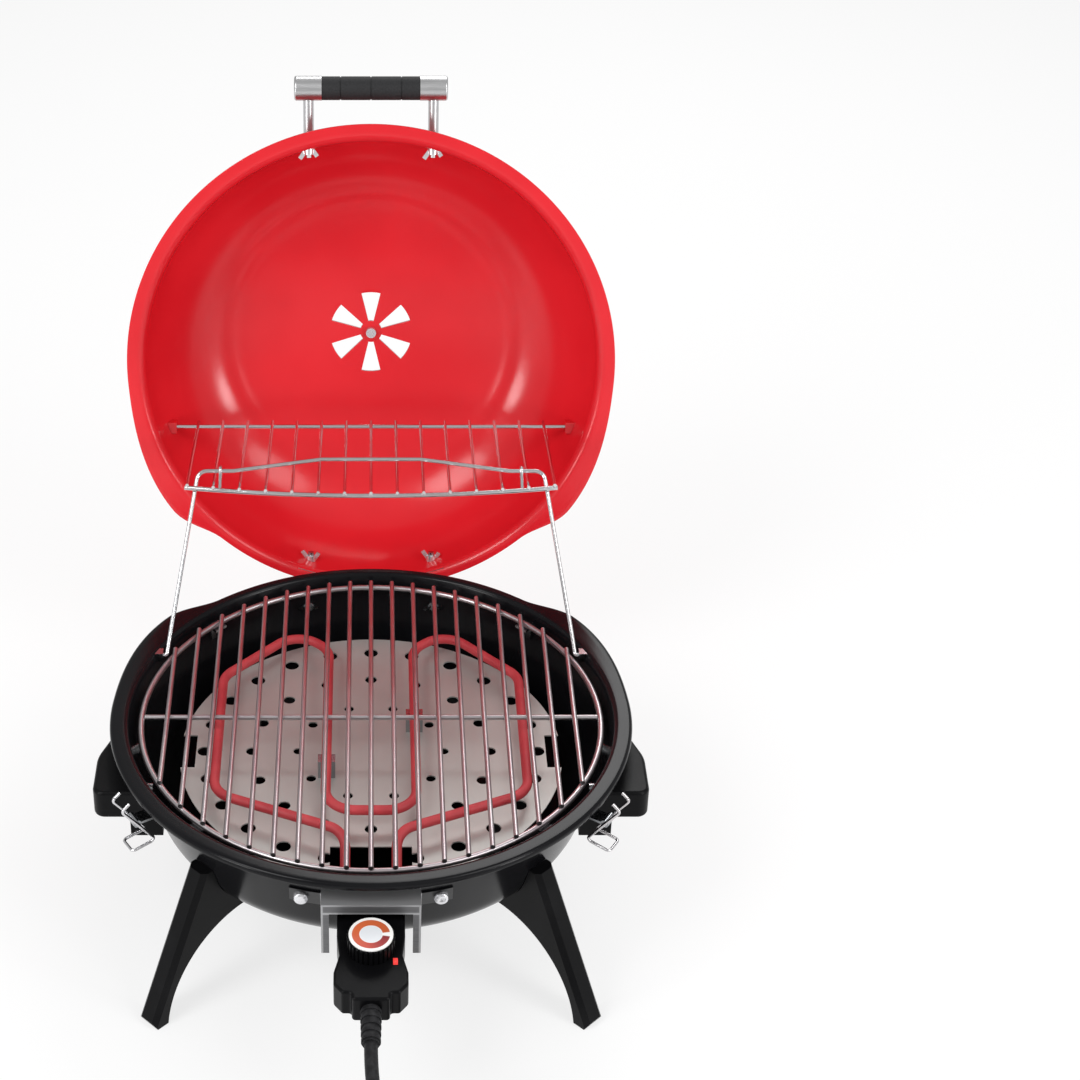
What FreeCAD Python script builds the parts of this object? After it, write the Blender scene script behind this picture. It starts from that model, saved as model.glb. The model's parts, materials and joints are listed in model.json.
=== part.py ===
"""Electric barbecue grill with a hinged lid, as a parametric FreeCAD document.

The grill stands on the plane z = 0. Its bowl's axis is vertical, the control faces -Y and the
lid's hinge is at +Y. Every piece is drawn round the bowl's axis with the lid closed. A piece's
own Placement then moves it to its place in the frame, and opens the lid.
"""
import FreeCAD, Part
import math
import os
import re

import Sketcher
from FreeCAD import Placement, Rotation, Vector

SIZES = {
    # Shared heights, places and clearances
    "bowl_axis_y": -64.1,
    "grate_height": 170.0,
    "rim_above_grate": 8.0,
    "overrun": 2.0,
    "weld_sink": 0.4,
    "running_gap": 0.05,
    "bolt_gap": 0.2,
    "seat_gap": 0.3,
    # Bowl
    "bowl_mouth_radius": 198.0,
    "bowl_taper": 30.0,
    "bowl_floor_radius": "=bowl_mouth_radius - bowl_taper",
    "bowl_depth": 98.0,
    "bowl_wall": 2.0,
    "bowl_bend_radius": 42.0,
    "bowl_flange_width": 14.0,
    "bowl_flange_radius": "=bowl_mouth_radius + bowl_flange_width",
    "rim_lip_depth": 5.5,
    # Outline that both flanges share
    "ear_reach": 8.0,
    "tongue_tuck": 5.0,
    # Lid
    "lid_gap": 0.5,
    "lid_wall": 2.0,
    "lid_mouth_over": 1.0,
    "lid_mouth_radius": "=bowl_mouth_radius + lid_mouth_over",
    "lid_flange_over": 2.5,
    "lid_flange_radius": "=bowl_flange_radius + lid_flange_over",
    "lid_shoulder_radius": 104.0,
    "lid_shoulder_degrees": 72.0,
    "lid_open_degrees": 102.5,
    # Hinge
    "hinge_behind_mouth": 8.0,
    "hinge_behind_axis": "=bowl_mouth_radius + hinge_behind_mouth",
    "hinge_below_rim": 34.0,
    "hinge_half_span": 55.0,
    "hinge_pin_radius": 3.0,
    "hinge_strap_thickness": 2.5,
    "hinge_strap_width": 22.0,
    "hinge_cheek": 2.5,
    "hinge_knuckle_radius": 7.5,
    "hinge_tab_height": 32.0,
    "hinge_bracket_drop": 12.0,
    "hinge_bracket_rise": 10.0,
    "hinge_bolt_below_rim": 23.0,
    "hinge_bolt_radius": 2.5,
    "hinge_bolt_above_rim": 22.0,
    # Wing nuts and bolt heads
    "nut_hub_radius": 4.6,
    "nut_hub_height": 6.0,
    "nut_wing_length": 9.0,
    "nut_wing_thickness": 1.8,
    "bolt_head_radius": 5.5,
    "bolt_head_height": 3.2,
    # Vent
    "vent_inner_radius": 10.0,
    "vent_outer_radius": 38.0,
    "vent_slot_degrees": 27.0,
    "vent_bolt_radius": 2.5,
    "damper_radius": 43.0,
    "damper_thickness": 1.2,
    "damper_gap": 0.4,
    "damper_tab_length": 12.0,
    "damper_tab_width": 10.0,
    # Lid handle
    "lid_handle_past_flange": 25.5,
    "lid_handle_reach": "=lid_flange_radius + lid_handle_past_flange",
    "lid_handle_above_rim": 28.0,
    "lid_handle_length": 131.0,
    "lid_handle_sleeve_length": 23.5,
    "lid_handle_sleeve_radius": 10.5,
    "lid_handle_grip_radius": 10.0,
    "lid_handle_edge_radius": 2.0,
    "lid_handle_seam_width": 1.0,
    "lid_handle_seam_depth": 0.6,
    "lid_handle_seam_spacing": 26.0,
    "lid_post_radius": 4.5,
    "lid_post_half_span": 53.5,
    # Cooking grate
    "grate_ring_room": 11.0,
    "grate_ring_radius": "=bowl_mouth_radius - grate_ring_room",
    "grate_ring_wire_radius": 2.5,
    "grate_cross_wire_radius": 2.2,
    "grate_bar_radius": 2.0,
    "grate_bar_pitch": 18.4,
    "grate_bar_overhang": 2.0,
    "grate_side_room": 12.0,
    "grate_support_width": 12.0,
    "grate_support_drop": 13.0,
    "grate_support_thickness": 2.0,
    "grate_support_reach": 9.0,
    # Reflector plate
    "reflector_radius": 157.0,
    "reflector_below_grate": 36.0,
    "reflector_thickness": 1.2,
    "reflector_leg_radius": 128.0,
    "reflector_leg_width": 12.0,
    "reflector_outer_hole_ring": 137.0,
    "reflector_outer_hole_radius": 6.0,
    "reflector_middle_hole_ring": 98.0,
    "reflector_middle_hole_radius": 5.0,
    "reflector_inner_hole_ring": 60.0,
    "reflector_inner_hole_radius": 4.0,
    "reflector_notch_inset": 13.0,
    "reflector_notch_width": 42.0,
    "reflector_mouth_inset": 38.0,
    "reflector_mouth_width": 64.0,
    # Heating element
    "element_radius": 4.0,
    "element_outer_half_width": 125.0,
    "element_inner_half_width": 36.0,
    "element_front": -95.0,
    "element_side_front": -74.0,
    "element_side_rear": 80.0,
    "element_crown_half_width": 64.0,
    "element_rear": 144.0,
    "element_inner_rear": 118.0,
    "element_bend_radius": 24.0,
    "element_below_grate": 18.0,
    "element_clip_length": 10.0,
    "element_clip_wall": 3.0,
    "element_clip_offset": 30.0,
    "terminal_radius": 3.0,
    "terminal_half_span": 20.0,
    "terminal_inside": 30.0,
    "terminal_plug_in": 16.0,
    "terminal_straight": 14.0,
    "terminal_rise_run": 26.0,
    "terminal_bend_radius": 18.0,
    # Control guard on the bowl's front
    "guard_width": 75.0,
    "guard_sheet": 1.5,
    "guard_top_below_grate": 14.0,
    "guard_height": 48.0,
    "guard_past_mouth": 11.0,
    "guard_front": "=bowl_mouth_radius + guard_past_mouth",
    "guard_lip": 9.0,
    "guard_flange": 6.0,
    "guard_strap_half_width": 62.0,
    "guard_strap_height": 16.0,
    "guard_bolt_half_span": 53.0,
    "guard_bolt_below_grate": 28.0,
    # Thermostat control
    "control_inside_mouth": 8.0,
    "control_back": "=bowl_mouth_radius - control_inside_mouth",
    "control_below_grate": 43.0,
    "control_tilt_degrees": 4.0,
    "control_half_thickness": 12.0,
    "control_length": 92.0,
    "control_rear_half_width": 25.5,
    "control_waist_half_width": 23.5,
    "control_front_half_width": 27.5,
    "control_shoulder_half_width": 21.0,
    "control_neck_half_width": 14.0,
    "control_corner_radius": 5.0,
    "control_notch_radius": 2.8,
    "control_edge_radius": 2.0,
    "control_screw_radius": 1.6,
    "control_screw_head_radius": 3.0,
    "control_screw_head_height": 2.0,
    "control_screw_half_span": 17.0,
    "control_screw_setback": 62.0,
    "control_screw_depth": 8.0,
    "probe_radius": 3.5,
    "probe_length": 60.0,
    "knob_radius": 18.0,
    "knob_height": 13.0,
    "knob_setback": 42.0,
    "knob_shaft_radius": 3.0,
    "knob_shaft_length": 8.0,
    "knob_rib_radius": 1.0,
    "dial_radius": 16.5,
    "dial_thickness": 1.0,
    "lamp_length": 6.0,
    "lamp_width": 3.6,
    "lamp_depth": 2.0,
    "lamp_proud": 0.8,
    "lamp_offset": 18.0,
    "lamp_setback": 56.0,
    "relief_length": 32.0,
    "relief_root_radius": 7.2,
    "relief_tip_radius": 6.2,
    "relief_rib_height": 0.9,
    "relief_rib_width": 2.6,
    # Side handles
    "side_handle_proud": 9.0,
    "side_handle_foot_inset": 18.0,
    "side_handle_slope_in": 14.0,
    "side_handle_slope_back": 38.0,
    "side_handle_slope_radius": 40.0,
    "side_handle_length": 85.0,
    "side_handle_middle": -36.5,
    "side_handle_top_below_grate": 14.0,
    "side_handle_grip_height": 26.0,
    "side_handle_height": 56.0,
    "side_handle_foot_length": 56.0,
    "side_handle_round": 9.0,
    "side_handle_edge": 3.0,
    "side_handle_wall": 6.0,
    "side_handle_screw_radius": 2.5,
    "side_handle_screw_half_span": 26.0,
    "side_handle_screw_below_grate": 24.0,
    "side_handle_screw_depth": 8.0,
    # Legs
    "leg_azimuth_degrees": 45.0,
    "leg_width": 20.0,
    "leg_top_inset": 5.0,
    "leg_top_radius": "=bowl_mouth_radius - leg_top_inset",
    "leg_top_height": 126.0,
    "leg_toe_past_mouth": 53.0,
    "leg_toe_radius": "=bowl_mouth_radius + leg_toe_past_mouth",
    "leg_toe_height": 6.0,
    "leg_toe_bevel": 3.0,
    "leg_foot_length": 11.0,
    "leg_arch_inset": 31.0,
    "leg_arch_height": 55.0,
    "leg_root_radius": 120.0,
    "leg_root_height": 68.0,
    "leg_facet": 4.0,
    "leg_bolt_radius": 3.0,
    "leg_bolt_place": 130.0,
    "leg_bolt_depth": 10.0,
    # Lid latches
    "latch_azimuth_degrees": 32.0,
    "latch_pivot_proud": 5.0,
    "latch_pivot_radius": "=bowl_flange_radius + latch_pivot_proud",
    "latch_pivot_below_rim": 19.0,
    "latch_wire_radius": 1.25,
    "latch_half_width": 8.0,
    "latch_hook_gap": 1.0,
    "latch_hook_reach": 8.5,
    "latch_bend_radius": 3.0,
    "latch_arm_drop": 24.0,
    "latch_finger_out": 19.0,
    "latch_finger_rise": 9.0,
    "latch_open_degrees": 35.0,
    "latch_barrel_radius": 3.2,
    "latch_barrel_length": 12.0,
    "latch_tab_thickness": 2.0,
    # Warming rack
    "rack_foot_inset": 25.5,
    "rack_foot_half_span": "=bowl_mouth_radius - rack_foot_inset",
    "rack_foot_y": 81.0,
    "rack_foot_above_grate": 4.0,
    "rack_leg_back": 100.0,
    "rack_leg_rise": 121.0,
    "rack_top_half_span": 147.0,
    "rack_top_arch": 10.0,
    "rack_arch_run": 75.0,
    "rack_bar_past_ring": 10.5,
    "rack_wire_radius": 1.75,
    "rack_stub_length": 4.8,
    "rack_bend_radius": 9.0,
    "rack_foot_bend_radius": 2.6,
    "rack_clip_size": 8.0,
    "rack_clip_depth": 20.0,
    "rack_eye_size": 10.0,
    "rack_eye_depth": 6.0,
    "shelf_rail_radius": 2.0,
    "shelf_wire_radius": 1.4,
    "shelf_front_half_width": 158.0,
    "shelf_front_set": 14.0,
    "shelf_front_drop": 8.0,
    "shelf_rear_half_width": 178.4,
    "shelf_bow": 13.0,
    "shelf_wire_pitch": 22.25,
    "shelf_tip": 3.0,
    "shelf_ring_place": 128.0,
    "shelf_ring_wire_radius": 1.5,
    # Supply cord and plug
    "cord_radius": 5.0,
    "coil_centre_x": 125.0,
    "coil_centre_y": -364.0,
    "coil_outer_radius": 64.0,
    "coil_step": 11.0,
    "coil_lift": 1.5,
    "coil_tail_length": 24.0,
    "coil_lead_length": 10.0,
    "lead_straight_length": 28.0,
    "tie_thickness": 1.2,
    "tie_width": 8.0,
    "plug_boot_length": 24.0,
    "plug_boot_tip_radius": 6.4,
    "plug_boot_root_radius": 10.0,
    "plug_body_length": 34.0,
    "plug_body_radius": 17.3,
    "plug_edge_radius": 3.0,
    "plug_blade_length": 17.0,
    "plug_blade_width": 6.3,
    "plug_blade_thickness": 1.5,
    "plug_blade_half_span": 6.35,
    "plug_earth_radius": 2.4,
    "plug_earth_length": 20.0,
    "plug_earth_drop": 6.0,
}

# Angles from the rear axis where the flange's tongue ends, its ears are widest and its ears end
TONGUE_END_DEGREES = 40.0
EAR_PEAK_DEGREES = 53.0
EAR_END_DEGREES = 86.0
EAR_STEPS = 12
# Whole turns and half turns that the put-away cord makes, in two layers
COIL_HALF_TURNS = 7
COIL_CLIMB_STEPS = 36
# How much of the shorter run a corner of the cord takes up
BEND_SHARE = 0.45
VENT_SLOTS = 6
WING_LEAN_DEGREES = 35.0
KNOB_RIBS = 30
RELIEF_RIBS = 5
LEGS = 4
GRATE_SUPPORTS = 4
OUTER_HOLES = 24
MIDDLE_HOLES = 16
INNER_HOLES = 10
# Corners of the free cord's route round the bowl's axis, chosen by hand between the control and the coil
CORD_CORNERS = [
    (6, -374, 104),
    (24, -404, 72),
    (52, -424, 32),
    (84, -428, 6.5),
]

doc = FreeCAD.newDocument("grill")
sheet = doc.addObject("Spreadsheet::Sheet", "Sizes")
for row, (alias, value) in enumerate(SIZES.items(), start=1):
    sheet.set(f"A{row}", alias)
    sheet.set(f"B{row}", str(value))
    sheet.setAlias(f"B{row}", alias)
doc.recompute()

RIM = "(grate_height + rim_above_grate)"
FLOOR = "(grate_height + rim_above_grate - bowl_depth)"
UP = Vector(0, 0, 1)
ALONG_X = Rotation(Vector(0, 1, 0), 90)
ALONG_Y = Rotation(Vector(1, 0, 0), -90)
nodes = {}


def size(name):
    """A driving dimension, read from the sheet."""
    return float(sheet.get(name))


def formula(text):
    """An expression with each size's name pointed at the sheet."""
    return re.sub(r"[a-z][a-z_]*", lambda m: "Sizes." + m[0] if m[0] in SIZES else m[0], text)


def bind(thing, **formulas):
    """Ties properties of an object to the sheet."""
    for name, text in formulas.items():
        thing.setExpression(name.replace("__", "."), formula(text))
    return thing


def put(thing, x="0", y="0", z="0", turn=Rotation()):
    """Sets an object's turn, and ties its place to the sheet."""
    thing.Placement = Placement(Vector(), turn)
    return bind(thing, Placement__Base__x=x, Placement__Base__y=y, Placement__Base__z=z)


def box(name, length, width, height, **place):
    return put(bind(doc.addObject("Part::Box", name), Length=length, Width=width, Height=height), **place)


def cylinder(name, radius, height, **place):
    return put(bind(doc.addObject("Part::Cylinder", name), Radius=radius, Height=height), **place)


def cone(name, radius1, radius2, height, **place):
    shape = bind(doc.addObject("Part::Cone", name), Radius1=radius1, Radius2=radius2, Height=height)
    return put(shape, **place)


def fuse(name, things):
    joined = doc.addObject("Part::MultiFuse", name)
    joined.Shapes = things
    return joined


def group(name, things):
    held = doc.addObject("Part::Compound", name)
    held.Links = things
    return held


def cut(name, base, tools):
    """The base less every tool."""
    result = doc.addObject("Part::Cut", name)
    result.Base = base
    result.Tool = tools[0] if len(tools) == 1 else fuse(name + "_tools", tools)
    return result


def common(name, base, tool):
    result = doc.addObject("Part::Common", name)
    result.Base = base
    result.Tool = tool
    return result


def form(name, shape):
    """A shape that no primitive or feature gives, such as bent wire."""
    thing = doc.addObject("Part::Feature", name)
    thing.Shape = shape
    return thing


def extrude(name, face, direction, length):
    """A flat outline pushed out to a length from the sheet."""
    result = doc.addObject("Part::Extrusion", name)
    result.Base = form(name + "_outline", face)
    result.Dir = direction
    result.DirMode = "Custom"
    result.Solid = True
    return bind(result, LengthFwd=length)


def rounded(name, base, radius, picks):
    """Fillets the edges of the base that picks says yes to."""
    doc.recompute()
    result = doc.addObject("Part::Fillet", name)
    result.Base = base
    edges = enumerate(base.Shape.Edges, start=1)
    result.Edges = [(number, radius, radius) for number, edge in edges if picks(edge)]
    return result


def copied(name, source, placement):
    """The same solid again at another place."""
    link = doc.addObject("Part::Compound", name)
    link.Links = [source]
    link.Placement = placement
    return link


def node(label, thing, placement):
    """Names a finished sub-part and moves it to its place in the frame."""
    thing.Label = label
    thing.Placement = placement * thing.Placement
    nodes[label] = thing


def polar(radius, degrees, z=0.0):
    """A point at an angle from the rear axis, turning towards +X."""
    angle = math.radians(degrees)
    return Vector(radius * math.sin(angle), radius * math.cos(angle), z)


def flange_face(radius, z):
    """The flange's outline: a round front, an ear at each rear corner and a tucked-in rear tongue."""
    tongue = radius - size("tongue_tuck")
    peak = radius + size("ear_reach")

    def ease(share):
        return share * share * (3 - 2 * share)

    def reach(degrees):
        if degrees <= EAR_PEAK_DEGREES:
            share = (degrees - TONGUE_END_DEGREES) / (EAR_PEAK_DEGREES - TONGUE_END_DEGREES)
            return tongue + (peak - tongue) * ease(share)
        share = (EAR_END_DEGREES - degrees) / (EAR_END_DEGREES - EAR_PEAK_DEGREES)
        return radius + (peak - radius) * ease(share)

    step = (EAR_END_DEGREES - TONGUE_END_DEGREES) / EAR_STEPS
    angles = [TONGUE_END_DEGREES + step * count for count in range(EAR_STEPS + 1)]

    def ear(side):
        points = [polar(reach(angle), side * angle, z) for angle in angles]
        first, last = points[0], points[-1]
        curve = Part.BSplineCurve()
        tangents = [Vector(first.y, -first.x, 0) * side, Vector(last.y, -last.x, 0) * side]
        curve.interpolate(
            Points=points, InitialTangent=tangents[0].normalize(), FinalTangent=tangents[1].normalize()
        )
        return curve.toShape()

    rear = Part.Arc(
        polar(tongue, -TONGUE_END_DEGREES, z), polar(tongue, 0, z), polar(tongue, TONGUE_END_DEGREES, z)
    )
    front = Part.Arc(
        polar(radius, EAR_END_DEGREES, z), polar(radius, 180, z), polar(radius, -EAR_END_DEGREES, z)
    )
    edges = Part.sortEdges([rear.toShape(), ear(1), front.toShape(), ear(-1)])[0]
    return Part.Face(Part.Wire(edges))


def route_wire(points, radii):
    """Straight runs joined by an arc at each corner, tangent to both runs."""
    edges = []
    start = points[0]
    for before, corner, after, radius in zip(points, points[1:], points[2:], radii):
        back = (before - corner).normalize()
        ahead = (after - corner).normalize()
        half_turn = (math.pi - back.getAngle(ahead)) / 2
        reach = radius * math.tan(half_turn)
        middle = (back + ahead).normalize()
        centre = corner + middle * (radius / math.cos(half_turn))
        enter = corner + back * reach
        leave = corner + ahead * reach
        edges.append(Part.LineSegment(start, enter).toShape())
        edges.append(Part.Arc(enter, centre - middle * radius, leave).toShape())
        start = leave
    edges.append(Part.LineSegment(start, points[-1]).toShape())
    return Part.Wire(edges)


def swept(path, radius):
    """A round wire or tube along a path."""
    first = path.OrderedEdges[0]
    start = first.valueAt(first.FirstParameter if first.Orientation == "Forward" else first.LastParameter)
    along = first.tangentAt(first.FirstParameter)
    circle = Part.Wire(Part.makeCircle(radius, start, along))
    return path.makePipeShell([circle], True, False)


def bent_wire(points, radius, bend):
    """Round wire through the points, with the same bend at every corner."""
    return swept(route_wire(points, [bend] * (len(points) - 2)), radius)


def turned_about_x(y, z, degrees):
    """The placement that turns things about an axis along X through a point."""
    pivot = Vector(0, y, z)
    return Placement(pivot, Rotation(Vector(1, 0, 0), degrees)) * Placement(-pivot, Rotation())


rim_z = size("grate_height") + size("rim_above_grate")
hinge_y = size("hinge_behind_axis")
hinge_z = rim_z - size("hinge_below_rim")
base_place = Placement(Vector(0, size("bowl_axis_y"), 0), Rotation())
lid_place = base_place * turned_about_x(hinge_y, hinge_z, -size("lid_open_degrees"))
control_z = size("grate_height") - size("control_below_grate")
control_turn = Rotation(Vector(1, 0, 0), size("control_tilt_degrees"))
control_local = Placement(Vector(0, -size("control_back"), control_z), control_turn)
control_place = base_place * control_local


# Solid blocks that the pressed shells and everything seated on them are cut from


def lowest_circle(edge):
    """True for the edge round a tapered block's floor."""
    return edge.BoundBox.ZMax < rim_z - size("bowl_depth") / 2 and edge.isClosed()


def bowl_block(name, wall_shares, bend):
    """The bowl's outside with wall_shares of 1, its inside with 0."""
    raised = f"{FLOOR} + {1 - wall_shares} * bowl_wall"
    tapered = cone(
        name + "_taper",
        f"bowl_floor_radius + {wall_shares} * bowl_wall",
        f"bowl_mouth_radius + {wall_shares} * bowl_wall",
        f"bowl_depth - {1 - wall_shares} * bowl_wall",
        z=raised,
    )
    return rounded(name, tapered, bend, lowest_circle)


def dome_face(inset):
    """Half of the lid's section: a round shoulder that runs on into a wide crown."""
    mouth = size("lid_mouth_radius") + size("lid_wall")
    shoulder = size("lid_shoulder_radius")
    angle = math.radians(size("lid_shoulder_degrees"))
    base = rim_z + size("lid_gap")
    hub = mouth - shoulder
    crown = (hub + shoulder * math.cos(angle)) / math.cos(angle)
    crown_centre = base + (shoulder - crown) * math.sin(angle)

    def on_shoulder(turn):
        reach = shoulder - inset
        return Vector(hub + reach * math.cos(turn), 0, base + reach * math.sin(turn))

    def on_crown(turn):
        reach = crown - inset
        return Vector(reach * math.cos(turn), 0, crown_centre + reach * math.sin(turn))

    foot = Vector(0, 0, base)
    top = on_crown(math.pi / 2)
    edges = [
        Part.LineSegment(foot, on_shoulder(0)).toShape(),
        Part.Arc(on_shoulder(0), on_shoulder(angle / 2), on_shoulder(angle)).toShape(),
        Part.Arc(on_crown(angle), on_crown((angle + math.pi / 2) / 2), top).toShape(),
        Part.LineSegment(top, foot).toShape(),
    ]
    return Part.Face(Part.Wire(edges)), crown, crown_centre


def turned_form(name, face):
    """A section turned once round the vertical axis."""
    result = doc.addObject("Part::Revolution", name)
    result.Source = form(name + "_section", face)
    result.Axis = UP
    result.Angle = 360
    result.Solid = True
    return result


bowl_outside = bowl_block("bowl_outside", 1, size("bowl_bend_radius"))
bowl_inside = bowl_block("bowl_inside", 0, size("bowl_bend_radius") - size("bowl_wall"))
outer_dome, crown_radius, crown_centre_z = dome_face(0)
inner_dome = dome_face(size("lid_wall"))[0]
lid_outside = turned_form("lid_outside", outer_dome)
lid_inside = turned_form("lid_inside", inner_dome)
# What sits on the inside of a shell is kept a hair away from it
lid_seat = turned_form("lid_seat", dome_face(size("lid_wall") + size("bolt_gap"))[0])
seat_shares = -size("bolt_gap") / size("bowl_wall")
bowl_seat = bowl_block(
    "bowl_seat", seat_shares, size("bowl_bend_radius") - size("bowl_wall") - size("bolt_gap")
)
crown_top_z = crown_centre_z + crown_radius


# Fasteners


def wing_nut(name):
    """A hub along +Z with two wings that stand up and out from it."""
    hub = cylinder(name + "_hub", "nut_hub_radius", "nut_hub_height")
    wings = []
    for side, word in ((1, "right"), (-1, "left")):
        lean = Rotation(Vector(0, 1, 0), side * WING_LEAN_DEGREES)
        wing = box(
            f"{name}_{word}_wing",
            "nut_wing_thickness * 2",
            "nut_wing_thickness",
            "nut_wing_length",
            x=f"{side} * nut_hub_radius / 2 - nut_wing_thickness",
            y="-nut_wing_thickness / 2",
            z="nut_hub_height / 3",
            turn=lean,
        )
        wings.append(wing)
    return fuse(name, [hub] + wings)


def rod(name, start, end, radius):
    """A straight round bar between two points."""
    bar = bind(doc.addObject("Part::Cylinder", name), Radius=radius)
    bar.Height = (end - start).Length
    bar.Placement = Placement(start, Rotation(UP, end - start))
    return bar


def bowl_wall_place(across, height):
    """How far from the axis the bowl's outside is along Y."""
    slope = (size("bowl_mouth_radius") - size("bowl_floor_radius")) / size("bowl_depth")
    radius = size("bowl_mouth_radius") + size("bowl_wall") - slope * (rim_z - height)
    return math.sqrt(radius**2 - across**2)


def lid_wall_place(across, height):
    """How far from the axis the closed lid's outside is along Y."""
    shoulder = size("lid_shoulder_radius")
    hub = size("lid_mouth_radius") + size("lid_wall") - shoulder
    radius = hub + math.sqrt(shoulder**2 - (height - rim_z - size("lid_gap")) ** 2)
    return math.sqrt(radius**2 - across**2)


def wall_bolt(name, across, height, wall, sheet_name, seat, inside):
    """A bolt along Y through a curved wall, its head outside and a wing nut inside, and its hole."""
    out = 1 if wall > 0 else -1
    radius = size("hinge_bolt_radius")
    head_end = wall + out * (size(sheet_name) + size("bolt_head_height"))
    nut_end = wall - out * (size("nut_hub_height") + size("bolt_head_height"))
    outer = Vector(across, head_end, height)
    inner = Vector(across, nut_end, height)
    shank = rod(name + "_shank", inner, outer, "hinge_bolt_radius")
    head = rod(name + "_head", Vector(across, wall, height), outer, "bolt_head_radius")
    bolt = fuse(name, [cut(name + "_seat", head, [seat]), shank])
    turn = Rotation(UP, inner - outer)
    blank = copied(
        name + "_nut_place", wing_nut(name + "_nut"), Placement(Vector(across, wall, height), turn)
    )
    bore = rod(name + "_nut_bore", inner, outer, "hinge_bolt_radius + running_gap")
    nut = cut(name + "_nut_bored", common(name + "_nut_seat", blank, inside), [bore])
    far = Vector(across, wall * 3 / 2, height)
    near = Vector(across, wall / 2, height)
    hole = rod(name + "_hole", near, far, "hinge_bolt_radius + bolt_gap")
    return bolt, nut, hole


# Bowl and what is fixed to its wall

SIDES = ((1, "right"), (-1, "left"))
ENDS = ((1, "rear"), (-1, "front"))
HOLE_RUN = "bowl_mouth_radius"


def through_wall(name, radius, x, y, z, turn):
    """A long round cutter or shank that is centred on a place on the bowl's wall."""
    rod = cylinder(name, radius, HOLE_RUN, z=f"-{HOLE_RUN} / 2")
    held = group(name + "_line", [rod])
    return put(held, x=x, y=y, z=z, turn=turn)


def bowl_holes():
    """Every hole that is drilled through the bowl's wall."""
    holes = []
    for side, word in SIDES:
        for half, end in ENDS:
            holes.append(
                through_wall(
                    f"side_hole_{word}_{end}",
                    "side_handle_screw_radius + bolt_gap",
                    f"{side} * bowl_mouth_radius",
                    f"side_handle_middle + {half} * side_handle_screw_half_span",
                    "grate_height - side_handle_screw_below_grate",
                    ALONG_X,
                )
            )
        holes.append(
            through_wall(
                f"hinge_hole_{word}",
                "hinge_bolt_radius + bolt_gap",
                f"{side} * hinge_half_span",
                "bowl_mouth_radius",
                f"{RIM} - hinge_bolt_below_rim",
                ALONG_Y,
            )
        )
        holes.append(
            through_wall(
                f"guard_hole_{word}",
                "hinge_bolt_radius + bolt_gap",
                f"{side} * guard_bolt_half_span",
                "-bowl_mouth_radius",
                "grate_height - guard_bolt_below_grate",
                ALONG_Y,
            )
        )
    return holes + [control_holes("bowl_control_holes")]


def control_holes(name):
    """The two terminals' holes and the probe's hole, on the control's own slant."""
    rods = []
    for side, word in SIDES:
        rods.append(
            cylinder(
                f"{name}_{word}",
                "terminal_radius + bolt_gap",
                "probe_length + terminal_plug_in",
                x=f"{side} * terminal_half_span",
                y="-terminal_plug_in",
                turn=ALONG_Y,
            )
        )
    rods.append(
        cylinder(
            name + "_probe", "probe_radius + bolt_gap", "probe_length", y="-terminal_plug_in", turn=ALONG_Y
        ),
    )
    held = group(name, rods)
    held.Placement = control_local
    return held


def leg_turns():
    step = 360 / LEGS
    words = ("rear_right", "rear_left", "front_left", "front_right")
    for count, word in enumerate(words):
        yield word, Placement(Vector(), Rotation(UP, size("leg_azimuth_degrees") + step * count))


def leg_holes():
    holes = []
    for word, turn in leg_turns():
        rod = cylinder(
            f"leg_hole_{word}",
            "leg_bolt_radius + bolt_gap",
            "bowl_wall * 3",
            x="leg_bolt_place",
            z=f"{FLOOR} - bowl_wall",
        )
        held = group(f"leg_hole_{word}_turn", [rod])
        held.Placement = turn
        holes.append(held)
    return holes


def make_bowl():
    lip = extrude("bowl_lip", flange_face(size("bowl_flange_radius"), rim_z), -UP, "rim_lip_depth")
    hollow_top = rim_z - size("bowl_wall")
    hollow = extrude(
        "bowl_lip_hollow",
        flange_face(size("bowl_flange_radius") - size("bowl_wall"), hollow_top),
        -UP,
        "rim_lip_depth",
    )
    shell = fuse("bowl_body", [bowl_outside, cut("bowl_flange", lip, [hollow])])
    open_shell = cut("bowl_open", shell, [bowl_inside])
    return cut("bowl_shell", open_shell, bowl_holes() + leg_holes())


HANDLE_REACH = "(bowl_flange_radius + side_handle_proud)"
HANDLE_FOOT_REACH = "(bowl_flange_radius - side_handle_foot_inset)"


def side_screw_place(half):
    """Where a side handle's screw passes through the wall: how far out, along and up."""
    along = f"side_handle_middle + {half} * side_handle_screw_half_span"
    taper = "(bowl_mouth_radius - bowl_floor_radius) * (rim_above_grate + side_handle_screw_below_grate)"
    wall_radius = f"(bowl_mouth_radius - {taper} / (bowl_depth - bowl_wall))"
    return f"sqrt({wall_radius} ^ 2 - ({along}) ^ 2)", along, "grate_height - side_handle_screw_below_grate"


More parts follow.
